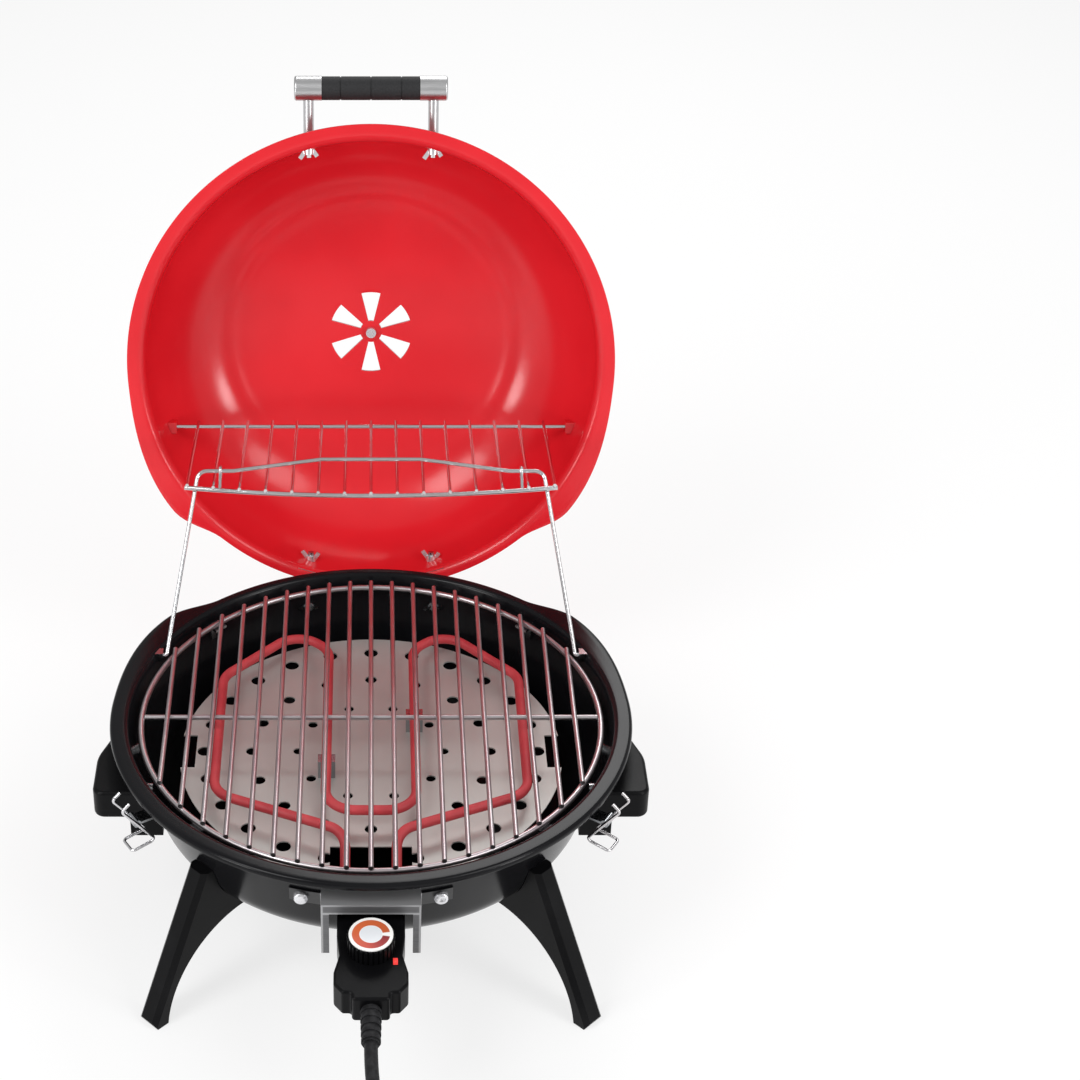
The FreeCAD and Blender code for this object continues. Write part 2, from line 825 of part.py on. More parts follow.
def make_side_handles():
    """A moulded grip that narrows to the rear, with a finger recess, on a foot screwed to the wall."""
    top = "(grate_height - side_handle_top_below_grate)"
    low = size("grate_height") - size("side_handle_top_below_grate") - size("side_handle_grip_height")
    reach = size("bowl_flange_radius") + size("side_handle_proud")
    root = size("bowl_floor_radius")
    half = size("side_handle_length") / 2
    shoulder = half - size("side_handle_slope_back")
    plan = [
        (root, -half),
        (reach, -half),
        (reach, shoulder),
        (reach - size("side_handle_slope_in"), half),
        (root, half),
    ]
    for side, word in SIDES:
        name = f"side_handle_{word}"
        corners = [Vector(x, side * y, low) for x, y in plan]
        face = Part.Face(Part.makePolygon(corners + corners[:1]))
        grip = extrude(name + "_grip", face, UP, "side_handle_grip_height")

        def upright_at(edge, numbers):
            middle = edge.BoundBox.Center
            near = [
                abs(
                    middle.x - corners[n].x
                ) + abs(middle.y - corners[n].y) < size("weld_sink") for n in numbers
            ]
            return edge.BoundBox.ZLength > size("side_handle_edge") and any(near)

        soft_ends = rounded(
            name + "_ends", grip, size("side_handle_round"), lambda edge: upright_at(edge, (1, 3))
        )
        soft_grip = rounded(
            name + "_soft", soft_ends, size("side_handle_slope_radius"), lambda edge: upright_at(edge, (2,))
        )

        def outer_rim(edge):
            flat = edge.BoundBox.ZLength < size("weld_sink")
            return flat and edge.BoundBox.XMax > root + size("weld_sink")

        soft_rim = rounded(name + "_rim", soft_grip, size("side_handle_edge"), outer_rim)
        foot = box(
            name + "_foot",
            f"{HANDLE_FOOT_REACH} - bowl_floor_radius",
            "side_handle_foot_length",
            "side_handle_height - side_handle_grip_height",
            x="bowl_floor_radius",
            y="-side_handle_foot_length / 2",
            z=f"{top} - side_handle_height",
        )
        recess_length = "(side_handle_length - side_handle_slope_back - side_handle_wall)"
        recess_start = "(side_handle_wall - side_handle_length / 2)"
        recess = box(
            name + "_recess",
            f"{HANDLE_REACH} - {HANDLE_FOOT_REACH} - side_handle_wall",
            recess_length,
            "side_handle_height",
            x=HANDLE_FOOT_REACH,
            y=recess_start if side > 0 else f"-{recess_start} - {recess_length}",
            z=f"{top} - side_handle_wall - side_handle_height",
        )
        whole = cut(name + "_whole", fuse(name + "_blank", [soft_rim, foot]), [recess])
        half_turn = Rotation(UP, 0 if side > 0 else 180)
        moved = put(group(name + "_moved", [whole]), y="side_handle_middle", turn=half_turn)
        bores = []
        for half, end in ENDS:
            wall, along, up = side_screw_place(half)
            bores.append(
                cylinder(
                    f"{name}_bore_{end}",
                    "side_handle_screw_radius + running_gap",
                    f"{wall} + bowl_wall + side_handle_screw_depth + seat_gap - bowl_floor_radius",
                    x=f"{side} * bowl_floor_radius",
                    y=along,
                    z=up,
                    turn=Rotation(Vector(0, 1, 0), side * 90),
                )
            )
        node(name, cut(name + "_seated", moved, [bowl_outside] + bores), base_place)


def make_side_screws():
    screws = []
    for side, word in SIDES:
        for half, end in ENDS:
            name = f"side_screw_{word}_{end}"
            wall, along, up = side_screw_place(half)
            place = {
                "x": f"{side} * ({wall} - bolt_head_height)",
                "y": along,
                "z": up,
                "turn": Rotation(Vector(0, 1, 0), side * 90),
            }
            shank_length = "bolt_head_height + bowl_wall + side_handle_screw_depth"
            shank = cylinder(name + "_shank", "side_handle_screw_radius", shank_length, **place)
            head = cylinder(name + "_head", "bolt_head_radius", "2 * bolt_head_height", **place)
            screws.append(fuse(name, [shank, common(name + "_seated_head", head, bowl_seat)]))
    node("side_handle_screws", group("side_screw_set", screws), base_place)


def make_legs():
    """A moulded leg: a straight outer edge, an arched inner edge and a root under the bowl's floor."""
    top = size("leg_top_height")
    half = size("leg_width") / 2

    def at(radius, z):
        return Vector(radius, -half, z)

    root = at(size("leg_root_radius"), size("leg_root_height"))
    sole = size("leg_toe_radius") - size("leg_toe_bevel")
    heel = at(sole - size("leg_foot_length"), 0)
    corners = [
        root,
        at(size("leg_root_radius"), rim_z - size("bowl_depth") + size("bowl_wall")),
        at(size("bowl_floor_radius"), top),
        at(size("leg_top_radius"), top),
        at(size("leg_toe_radius"), size("leg_toe_height")),
        at(sole, 0),
        heel,
    ]
    edges = [Part.LineSegment(a, b).toShape() for a, b in zip(corners, corners[1:])]
    arch = at(heel.x - size("leg_arch_inset"), size("leg_arch_height"))
    edges.append(Part.Arc(heel, arch, root).toShape())
    blank = extrude("leg_blank", Part.Face(Part.Wire(edges)), Vector(0, 1, 0), "leg_width")
    doc.recompute()
    slant = corners[4] - corners[3]

    def outer_edge(edge):
        along = edge.Vertexes[-1].Point - edge.Vertexes[0].Point
        return len(edge.Vertexes) == 2 and along.cross(slant).Length < size("weld_sink") * slant.Length

    faceted = doc.addObject("Part::Chamfer", "leg_faceted")
    faceted.Base = blank
    facet = size("leg_facet")
    faceted.Edges = [(n, facet, facet) for n, e in enumerate(blank.Shape.Edges, start=1) if outer_edge(e)]
    bore = cylinder(
        "leg_bore",
        "leg_bolt_radius + running_gap",
        "leg_bolt_depth",
        x="leg_bolt_place",
        z=f"{FLOOR} - leg_bolt_depth",
    )
    seated = cut("leg_seated", faceted, [bowl_outside, bore])
    bolts = []
    for word, turn in leg_turns():
        node(f"leg_{word}", copied(f"leg_{word}_turn", seated, turn), base_place)
        shank_length = "leg_bolt_depth + bowl_wall - seat_gap"
        shank = cylinder(
            f"leg_bolt_{word}_shank",
            "leg_bolt_radius",
            shank_length,
            x="leg_bolt_place",
            z=f"{FLOOR} - leg_bolt_depth + seat_gap",
        )
        head = cylinder(
            f"leg_bolt_{word}_head",
            "bolt_head_radius",
            "bolt_head_height",
            x="leg_bolt_place",
            z=f"{FLOOR} + bowl_wall",
        )
        held = fuse(f"leg_bolt_{word}", [shank, head])
        bolts.append(copied(f"leg_bolt_{word}_turn", held, turn))
    node("leg_bolts", group("leg_bolt_set", bolts), base_place)


node("bowl", make_bowl(), base_place)
make_side_handles()
make_side_screws()
make_legs()


# Cooking grate, reflector plate and heating element


def make_grate():
    """A round wire ring with a row of straight bars across its top and one cross wire under them."""
    ring = bind(
        doc.addObject("Part::Torus", "grate_ring"),
        Radius1="grate_ring_radius",
        Radius2="grate_ring_wire_radius",
    )
    put(ring, z="grate_height")
    side_reach = size("grate_ring_radius") - size("grate_side_room")
    count = int(side_reach / size("grate_bar_pitch"))
    bars = []
    for step in range(-count, count + 1):
        half = f"(sqrt(grate_ring_radius ^ 2 - ({step} * grate_bar_pitch) ^ 2) + grate_bar_overhang)"
        bars.append(
            cylinder(
                f"grate_bar_{step + count}",
                "grate_bar_radius",
                f"2 * {half}",
                x=f"{step} * grate_bar_pitch",
                y=f"-{half}",
                z="grate_height + grate_ring_wire_radius + grate_bar_radius + running_gap",
                turn=ALONG_Y,
            )
        )
    cross_half = "(grate_ring_radius - grate_ring_wire_radius - running_gap)"
    cross = cylinder(
        "grate_cross_wire",
        "grate_cross_wire_radius",
        f"2 * {cross_half}",
        x=f"-{cross_half}",
        z="grate_height + grate_ring_wire_radius - grate_cross_wire_radius",
        turn=ALONG_X,
    )
    node("grate_ring", group("grate_hoop", [ring]), base_place)
    node("cooking_grate", group("grate_wires", [cross] + bars), base_place)


def make_grate_supports():
    """Small shelf tabs on the bowl's wall that the grate's ring lies on."""
    tabs = []
    for count in range(GRATE_SUPPORTS):
        name = f"grate_support_{count}"
        seat = "(grate_height - grate_ring_wire_radius)"
        shelf = box(
            name + "_shelf",
            "bowl_mouth_radius - grate_ring_radius + grate_support_reach",
            "grate_support_width",
            "grate_support_thickness",
            x="grate_ring_radius - grate_support_reach / 2",
            y="-grate_support_width / 2",
            z=f"{seat} - grate_support_thickness",
        )
        back = box(
            name + "_back",
            "bowl_mouth_radius - grate_ring_radius",
            "grate_support_width",
            "grate_support_drop",
            x="grate_ring_radius + grate_support_thickness",
            y="-grate_support_width / 2",
            z=f"{seat} - grate_support_drop",
        )
        turn = Rotation(UP, size("leg_azimuth_degrees") + 360 / GRATE_SUPPORTS * count)
        tab = copied(name + "_turn", fuse(name, [shelf, back]), Placement(Vector(), turn))
        tabs.append(common(name + "_seated", tab, bowl_seat))
    node("grate_supports", group("grate_support_set", tabs), base_place)


def origin_plane(body, role):
    return next(feature for feature in body.Origin.OriginFeatures if feature.Role == role)


def flat_sketch(body, name):
    """An empty sketch on the body's own XY plane."""
    sketch = body.newObject("Sketcher::SketchObject", name)
    sketch.AttachmentSupport = (origin_plane(body, "XY_Plane"), "")
    sketch.MapMode = "FlatFace"
    return sketch


def sketch_circle(body, name, radius, ring=None):
    """A circle at the origin, or on the X axis at the ring's radius."""
    sketch = flat_sketch(body, name)
    place = Vector(size(ring), 0, 0) if ring else Vector()
    sketch.addGeometry(Part.Circle(place, UP, size(radius)))
    if ring:
        sketch.addConstraint(Sketcher.Constraint("PointOnObject", 0, 3, -1))
        sketch.addConstraint(Sketcher.Constraint("DistanceX", -1, 1, 0, 3, size(ring)))
        sketch.setExpression("Constraints[1]", formula(ring))
    else:
        sketch.addConstraint(Sketcher.Constraint("Coincident", 0, 3, -1, 1))
    number = sketch.addConstraint(Sketcher.Constraint("Radius", 0, size(radius)))
    sketch.setExpression(f"Constraints[{number}]", formula(radius))
    return sketch


def sketch_outline(body, name, corners, length):
    """A closed outline that is the same on both sides; a corner is a half width and a share of the length."""
    sketch = flat_sketch(body, name)
    both = [(1, width, share) for width, share in corners] + [
        (-1, width, share) for width, share in reversed(corners)
    ]
    points = [Vector(sign * size(width), -share * size(length), 0) for sign, width, share in both]
    count = len(points)
    for number, point in enumerate(points):
        sketch.addGeometry(Part.LineSegment(point, points[(number + 1) % count]))
    for number in range(count):
        sketch.addConstraint(Sketcher.Constraint("Coincident", number, 2, (number + 1) % count, 1))
    for number, (sign, width, share) in enumerate(both):
        across = sketch.addConstraint(Sketcher.Constraint("DistanceX", -1, 1, number, 1, points[number].x))
        sketch.setExpression(f"Constraints[{across}]", formula(f"{sign} * {width}"))
        if share == 0:
            sketch.addConstraint(Sketcher.Constraint("PointOnObject", number, 1, -1))
        else:
            along = sketch.addConstraint(
                Sketcher.Constraint("DistanceY", -1, 1, number, 1, points[number].y)
            )
            sketch.setExpression(f"Constraints[{along}]", formula(f"-{share} * {length}"))
    return sketch


def padded(body, sketch, length, reverse=False):
    pad = body.newObject("PartDesign::Pad", sketch.Name + "_pad")
    pad.Profile = sketch
    pad.Reversed = reverse
    bind(pad, Length=length)
    doc.recompute()
    return pad


def pocketed(body, sketch):
    """Cuts a sketch right through, both ways."""
    pocket = body.newObject("PartDesign::Pocket", sketch.Name + "_pocket")
    pocket.Profile = sketch
    pocket.Type = "ThroughAll"
    pocket.Midplane = True
    doc.recompute()
    return pocket


def ringed(body, feature, count):
    """Repeats a feature round the body's Z axis."""
    pattern = body.newObject("PartDesign::PolarPattern", feature.Name + "_ring")
    pattern.Originals = [feature]
    pattern.Axis = (origin_plane(body, "Z_Axis"), [""])
    pattern.Angle = 360
    pattern.Occurrences = count
    body.Tip = pattern
    doc.recompute()
    return pattern


REFLECTOR = "(grate_height - reflector_below_grate)"


def make_reflector():
    """A pierced plate on four bent legs, notched at each side and at the front, where the tube comes up."""
    body = doc.addObject("PartDesign::Body", "reflector_disc")
    padded(body, sketch_circle(body, "reflector_round", "reflector_radius"), "reflector_thickness")
    rings = (("outer", OUTER_HOLES), ("middle", MIDDLE_HOLES), ("inner", INNER_HOLES))
    for word, count in rings:
        hole = sketch_circle(
            body, f"reflector_{word}", f"reflector_{word}_hole_radius", f"reflector_{word}_hole_ring"
        )
        ringed(body, pocketed(body, hole), count)
    disc = put(group("reflector_level", [body]), z=REFLECTOR)
    notches = []
    for side, word in SIDES:
        notches.append(
            box(
                f"reflector_notch_{word}",
                "reflector_notch_inset * 2",
                "reflector_notch_width",
                "reflector_thickness + 2 * overrun",
                x=f"{side} * reflector_radius - reflector_notch_inset",
                y="-reflector_notch_width / 2",
                z=f"{REFLECTOR} - overrun",
            )
        )
    notches.append(
        box(
            "reflector_mouth",
            "reflector_mouth_width",
            "reflector_mouth_inset * 2",
            "reflector_thickness + 2 * overrun",
            x="-reflector_mouth_width / 2",
            y="-reflector_radius - reflector_mouth_inset",
            z=f"{REFLECTOR} - overrun",
        )
    )
    notched = cut("reflector_notched", disc, notches)
    legs = []
    for word, turn in leg_turns():
        strip = box(
            f"reflector_leg_{word}",
            "reflector_thickness",
            "reflector_leg_width",
            f"{REFLECTOR} + reflector_thickness - {FLOOR} - bowl_wall",
            x="reflector_leg_radius",
            y="-reflector_leg_width / 2 + reflector_leg_width",
            z=f"{FLOOR} + bowl_wall",
        )
        legs.append(copied(f"reflector_leg_{word}_turn", strip, turn))
    node("reflector_plate", fuse("reflector_pressed", [notched] + legs), base_place)


def element_start():
    """Where the right terminal ends inside the bowl, where the tube turns up, and where it comes level."""
    reach = size("terminal_inside")
    across = size("terminal_half_span")
    first = control_local.multVec(Vector(across, reach, 0))
    turn_up = control_local.multVec(Vector(across, reach + size("terminal_straight"), 0))
    level = Vector(
        across, turn_up.y + size("terminal_rise_run"), size("grate_height") - size("element_below_grate")
    )
    return first, turn_up, level


def make_element():
    """One tube from terminal to terminal: out to the sides, back, and in to a long middle loop."""
    first, turn_up, level = element_start()
    half = [
        first,
        turn_up,
        level,
        Vector(size("element_outer_half_width"), size("element_side_front"), level.z),
        Vector(size("element_outer_half_width"), size("element_side_rear"), level.z),
        Vector(size("element_crown_half_width"), size("element_rear"), level.z),
        Vector(size("element_inner_half_width"), size("element_inner_rear"), level.z),
        Vector(size("element_inner_half_width"), size("element_front"), level.z),
    ]
    other = [Vector(-point.x, point.y, point.z) for point in reversed(half)]
    bend = size("element_bend_radius")
    points = half + other
    rise = [size("terminal_bend_radius")] * 2
    radii = rise + [bend] * (len(points) - 2 - 2 * len(rise)) + rise
    node(
        "heating_element",
        form("element_tube", swept(route_wire(points, radii), size("element_radius"))),
        base_place,
    )
    clips = []
    for side, word in SIDES:
        name = f"element_clip_{word}"
        saddle = box(
            name + "_saddle",
            "2 * (element_radius + element_clip_wall)",
            "element_clip_length",
            "reflector_below_grate - reflector_thickness - element_below_grate",
            x=f"{side} * element_inner_half_width - element_radius - element_clip_wall",
            y=f"{side} * element_clip_offset - element_clip_length / 2",
            z=f"{REFLECTOR} + reflector_thickness",
        )
        groove = cylinder(
            name + "_groove",
            "element_radius + running_gap",
            "element_clip_length + 2 * overrun",
            x=f"{side} * element_inner_half_width",
            y=f"{side} * element_clip_offset - element_clip_length / 2 - overrun",
            z="grate_height - element_below_grate",
            turn=ALONG_Y,
        )
        clips.append(cut(name, saddle, [groove]))
    node("element_clips", group("element_clip_set", clips), base_place)
    rods = []
    for side, word in SIDES:
        rods.append(
            cylinder(
                f"terminal_{word}",
                "terminal_radius",
                "terminal_inside + terminal_plug_in - bolt_gap",
                x=f"{side} * terminal_half_span",
                y="-terminal_plug_in + bolt_gap",
                turn=ALONG_Y,
            )
        )
    node("element_terminals", group("terminal_pair", rods), control_place)


make_grate()
make_grate_supports()
make_reflector()
make_element()


# Thermostat control and its guard


def make_guard():
    """A sheet hood with a turned-in front, over the control's socket, on a strap bolted across the bowl."""
    top = "(grate_height - guard_top_below_grate)"
    hood = box(
        "guard_hood",
        "guard_width",
        "guard_front - bowl_floor_radius",
        "guard_height",
        x="-guard_width / 2",
        y="-guard_front",
        z=f"{top} - guard_height",
    )
    hollow = box(
        "guard_hollow",
        "guard_width - 2 * guard_sheet",
        "guard_front",
        "guard_height",
        x="-guard_width / 2 + guard_sheet",
        y="-guard_front - overrun",
        z=f"{top} - guard_height - guard_sheet",
    )
    face = box(
        "guard_face",
        "guard_width",
        "guard_sheet",
        "guard_height",
        x="-guard_width / 2",
        y="-guard_front",
        z=f"{top} - guard_height",
    )
    mouth = box(
        "guard_mouth",
        "guard_width - 2 * guard_flange",
        "guard_sheet + 2 * overrun",
        "guard_height",
        x="-guard_width / 2 + guard_flange",
        y="-guard_front - overrun",
        z=f"{top} - guard_height - guard_lip",
    )
    folded = fuse("guard_folded", [cut("guard_bent", hood, [hollow]), cut("guard_frame", face, [mouth])])
    skin_outside = cone(
        "guard_skin",
        "bowl_floor_radius + bowl_wall + guard_sheet",
        "bowl_mouth_radius + bowl_wall + guard_sheet",
        "bowl_depth",
        z=FLOOR,
    )
    band = box(
        "guard_band",
        "2 * guard_strap_half_width",
        "bowl_mouth_radius",
        "guard_strap_height",
        x="-guard_strap_half_width",
        y="-bowl_mouth_radius - guard_front",
        z="grate_height - guard_bolt_below_grate - guard_strap_height / 2",
    )
    band_reach = put(group("guard_band_reach", [band]), y="bowl_mouth_radius / 2")
    strap = common("guard_strap", skin_outside, band_reach)
    height = size("grate_height") - size("guard_bolt_below_grate")
    holes = []
    bolts = []
    for side, word in SIDES:
        across = side * size("guard_bolt_half_span")
        wall = -bowl_wall_place(across, height)
        bolt, nut, hole = wall_bolt(
            f"guard_bolt_{word}", across, height, wall, "guard_sheet", skin_outside, bowl_seat
        )
        bolts.append(fuse(f"guard_bolt_{word}_pair", [bolt, nut]))
        holes.append(hole)
    guard = cut("guard_seated", fuse("guard_blank", [folded, strap]), [bowl_outside] + holes)
    node("control_guard", guard, base_place)
    node("control_guard_bolts", group("guard_bolt_set", bolts), base_place)


# How far along the control its shoulders end, where the neck block goes on
CONTROL_NOTCH_SHARE = 0.93
# Half widths along the control, each at a share of its length
CONTROL_CORNERS = [
    ("control_rear_half_width", 0.0),
    ("control_rear_half_width", 0.32),
    ("control_waist_half_width", 0.53),
    ("control_front_half_width", 0.71),
    ("control_front_half_width", 0.84),
    ("control_shoulder_half_width", CONTROL_NOTCH_SHARE),
    ("control_neck_half_width", CONTROL_NOTCH_SHARE),
    ("control_neck_half_width", 1.0),
]


def housing_half(name, upper):
    """Half of the control's moulding, from the parting plane outwards, with rounded corners and edges."""
    body = doc.addObject("PartDesign::Body", name + "_moulding")
    sketch = sketch_outline(body, name + "_plan", CONTROL_CORNERS, "control_length")
    pad = padded(body, sketch, "control_half_thickness", reverse=not upper)
    shoulder_y = -size("control_length") * CONTROL_NOTCH_SHARE + size("weld_sink")

    def uprights(shape, at_front):
        found = []
        for number, edge in enumerate(shape.Edges, start=1):
            upright = edge.BoundBox.ZLength > size("control_edge_radius") and len(edge.Vertexes) == 2
            if upright and (edge.BoundBox.Center.y < shoulder_y) == at_front:
                found.append(f"Edge{number}")
        return found

    notch = body.newObject("PartDesign::Fillet", name + "_notches")
    notch.Base = (pad, uprights(pad.Shape, True))
    bind(notch, Radius="control_notch_radius")
    doc.recompute()
    corner = body.newObject("PartDesign::Fillet", name + "_corners")
    corner.Base = (notch, uprights(notch.Shape, False))
    bind(corner, Radius="control_corner_radius")
    doc.recompute()
    face_z = size("control_half_thickness") * (1 if upper else -1)

    def round_face(edge):
        flat = edge.BoundBox.ZLength < size("weld_sink")
        return flat and abs(edge.BoundBox.Center.z - face_z) < size("weld_sink")

    rim = [number for number, edge in enumerate(corner.Shape.Edges, start=1) if round_face(edge)]
    edge = body.newObject("PartDesign::Fillet", name + "_edges")
    edge.Base = (corner, [f"Edge{n}" for n in rim])
    bind(edge, Radius="control_edge_radius")
    body.Tip = edge
    doc.recompute()
    return body


def control_sockets(name):
    """Round channels on the parting plane for the two terminals and the probe."""
    rods = []
    for side, word in SIDES:
        rods.append(
            cylinder(
                f"{name}_{word}",
                "terminal_radius + bolt_gap",
                "terminal_plug_in + overrun",
                x=f"{side} * terminal_half_span",
                y="-terminal_plug_in",
                turn=ALONG_Y,
            )
        )
    rods.append(
        cylinder(
            name + "_probe",
            "probe_radius + running_gap",
            "terminal_plug_in + overrun",
            y="-terminal_plug_in",
            turn=ALONG_Y,
        ),
    )
    return rods


def make_control():
    top = "control_half_thickness"
    shaft_hole = cylinder(
        "knob_shaft_hole",
        "knob_shaft_radius + running_gap",
        "knob_shaft_length + seat_gap + overrun",
        y="-knob_setback",
        z=f"{top} - knob_shaft_length - seat_gap",
    )
    lamp_well = box(
        "lamp_well",
        "lamp_width",
        "lamp_length",
        "lamp_depth + overrun",
        x="lamp_offset - lamp_width / 2",
        y="-lamp_setback - lamp_length / 2",
        z=f"{top} - lamp_depth",
    )
    screws = []
    screw_bores = []
    for side, word in SIDES:
        place = {"x": f"{side} * control_screw_half_span", "y": "-control_screw_setback"}
        shank = cylinder(
            f"control_screw_{word}_shank",
            "control_screw_radius",
            f"{top} + control_screw_depth - seat_gap",
            z=f"-{top}",
            **place,
        )
        head = cylinder(
            f"control_screw_{word}_head",
            "control_screw_head_radius",
            "control_screw_head_height",
            z=f"-{top}",
            **place,
        )
        screws.append(fuse(f"control_screw_{word}", [shank, head]))
        bore = cylinder(
            f"control_screw_{word}_bore",
            "control_screw_radius + running_gap",
            f"{top} + control_screw_depth",
            z=f"-{top}",
            **place,
        )
        sink = cylinder(
            f"control_screw_{word}_sink",
            "control_screw_head_radius + bolt_gap",
            "control_screw_head_height",
            z=f"-{top}",
            **place,
        )
        screw_bores += [bore, sink]
    upper = cut(
        "control_upper_cut",
        housing_half("control_upper", True),
        control_sockets("upper_socket") + [shaft_hole, lamp_well] + screw_bores,
    )
    lower = cut(
        "control_lower_cut",
        housing_half("control_lower", False),
        control_sockets("lower_socket") + screw_bores,
    )
    node("control_housing_upper", upper, control_place)
    node("control_housing_lower", lower, control_place)
    node("control_housing_screws", group("control_screw_set", screws), control_place)
    lens = box(
        "lamp_block",
        "lamp_width - 2 * running_gap",
        "lamp_length - 2 * running_gap",
        "lamp_depth + lamp_proud",
        x="lamp_offset - lamp_width / 2 + running_gap",
        y="-lamp_setback - lamp_length / 2 + running_gap",
        z=f"{top} - lamp_depth",
    )
    node("indicator_lens", group("lamp_lens", [lens]), control_place)
    probe = cylinder("probe_stem", "probe_radius", "probe_length", y="-terminal_plug_in", turn=ALONG_Y)
    node("probe_rod", group("probe", [probe]), control_place)


def make_knob():
    """A ribbed knob on a short shaft, with a flat dial disc on its top."""
    body = doc.addObject("PartDesign::Body", "knob_moulding")
    drum = padded(body, sketch_circle(body, "knob_round", "knob_radius"), "knob_height")
    edge = body.newObject("PartDesign::Fillet", "knob_edge")
    tops = [n for n, e in enumerate(drum.Shape.Edges, start=1) if e.BoundBox.ZMin > size("knob_height") / 2]
    edge.Base = (drum, [f"Edge{n}" for n in tops])
    bind(edge, Radius="knob_rib_radius")
    doc.recompute()
    rib = sketch_circle(body, "knob_rib", "knob_rib_radius", "knob_radius")
    ringed(body, pocketed(body, rib), KNOB_RIBS)
    place = {"y": "-knob_setback", "z": "control_half_thickness + seat_gap"}
    drum_up = put(group("knob_up", [body]), **place)
    shaft = cylinder(
        "knob_shaft",
        "knob_shaft_radius",
        "knob_shaft_length + seat_gap",
        y="-knob_setback",
        z="control_half_thickness - knob_shaft_length",
    )
    node("control_knob", fuse("knob_whole", [drum_up, shaft]), control_place)
    disc = cylinder(
        "dial_plate",
        "dial_radius",
        "dial_thickness",
        y="-knob_setback",
        z="control_half_thickness + seat_gap + knob_height",
    )
    node("dial_disc", group("dial", [disc]), control_place)


def make_relief():
    """A tapered strain relief with raised rings along it."""
    ahead = Rotation(Vector(1, 0, 0), 90)
    sleeve = cone(
        "relief_sleeve",
        "relief_root_radius",
        "relief_tip_radius",
        "relief_length",
        y="-control_length",
        turn=ahead,
    )
    rings = []
    for count in range(RELIEF_RIBS):
        share = (count + 0.5) / RELIEF_RIBS
        rings.append(
            cylinder(
                f"relief_ring_{count}",
                f"relief_root_radius + {share} * (relief_tip_radius - relief_root_radius) + relief_rib_height",
                "relief_rib_width",
                y=f"-control_length - {share} * relief_length + relief_rib_width / 2",
                turn=ahead,
            )
        )
    node("cord_strain_relief", fuse("relief_ribbed", [sleeve] + rings), control_place)


make_guard()
make_control()
make_knob()
make_relief()


# Supply cord, its put-away coil and the plug


def cord_points():
    """The free cord's corners, from the strain relief's end to the coil's start."""
    end = size("control_length") + size("relief_length")
    straight = end + size("lead_straight_length")
    first = [control_local.multVec(Vector(0, -reach, 0)) for reach in (end, straight)]
    return first + [Vector(*corner) for corner in CORD_CORNERS] + [coil_start()]


def coil_low():
    return size("cord_radius") + size("coil_lift")


def coil_start():
    front = size("coil_centre_y") - size("coil_outer_radius")
    return Vector(size("coil_centre_x") - size("coil_lead_length"), front, coil_low())


def corner_radii(points):
    """As gentle a bend at each corner as the shorter of its two runs leaves room for."""
    radii = []
    for before, corner, after in zip(points, points[1:], points[2:]):
        back = before - corner
        ahead = after - corner
        half_turn = (math.pi - back.getAngle(ahead)) / 2
        radii.append(BEND_SHARE * min(back.Length, ahead.Length) / math.tan(half_turn))
    return radii


def coil_radii():
    """One radius for each half turn: in by half a step each time, one turn that climbs, and out again."""
    inwards = [
        size("coil_outer_radius") - count * size("coil_step") / 2 for count in range(COIL_HALF_TURNS // 2)
    ]
    return inwards + [inwards[-1] - size("coil_step") / 2] + inwards[::-1]


def coil_path():
    """The coil's edges, and points along it for measuring."""
    low = coil_low()
    high = low + size("coil_step")
    axis = size("coil_centre_x")
    place = Vector(axis, size("coil_centre_y") - size("coil_outer_radius"), low)
    edges = [Part.LineSegment(coil_start(), place).toShape()]
    for number, radius in enumerate(coil_radii()):
        heading = 1 if number % 2 == 0 else -1
        centre = Vector(axis, place.y + heading * radius, 0)

        def on_turn(share, z):
            angle = math.pi * share
            return Vector(
                axis + heading * radius * math.sin(angle), centre.y - heading * radius * math.cos(angle), z
            )

        if number == COIL_HALF_TURNS // 2:
            shares = [count / COIL_CLIMB_STEPS for count in range(COIL_CLIMB_STEPS + 1)]
            climb = [on_turn(share, low + (high - low) * share**2 * (3 - 2 * share)) for share in shares]
            curve = Part.BSplineCurve()
            ahead = Vector(heading, 0, 0)
            curve.interpolate(Points=climb, InitialTangent=ahead, FinalTangent=-ahead)
            edges.append(curve.toShape())
        else:
            z = low if number < COIL_HALF_TURNS // 2 else high
            edges.append(Part.Arc(on_turn(0, z), on_turn(0.5, z), on_turn(1, z)).toShape())
        place = edges[-1].Vertexes[-1].Point
    tail = place - Vector(size("coil_tail_length"), 0, 0)
    edges.append(Part.LineSegment(place, tail).toShape())
    return edges, tail


def coil_self_gap(path):
    """The least gap between turns, measured on even points that are far apart along the path."""
    spacing = size("cord_radius") / 2
    points = path.discretize(Number=int(path.Length / spacing))
    apart = int(path.Length / (2 * COIL_HALF_TURNS) / spacing)
    least = path.Length
    for number, point in enumerate(points):
        for other in points[number + apart :]:
            least = min(least, point.distanceToPoint(other))
    return least - 2 * size("cord_radius")


def make_cord():
    points = cord_points()
    radii = corner_radii(points)
    lead = route_wire(points, radii)
    radius = size("cord_radius")
    node("cord_lead", form("lead_tube", swept(lead, radius)), base_place)
    edges, tail = coil_path()
    path = Part.Wire(edges)
    coil = swept(path, radius)
    node("cord_coil", form("coil_tube", coil), base_place)
    section = math.pi * radius**2
    print("lead radii", [round(value, 1) for value in radii], "length", round(lead.Length, 1))
    print("coil length", round(path.Length, 1), "least gap", round(coil_self_gap(path), 2))
    print("coil volume share", round(coil.Volume / (section * path.Length), 4))
    return tail


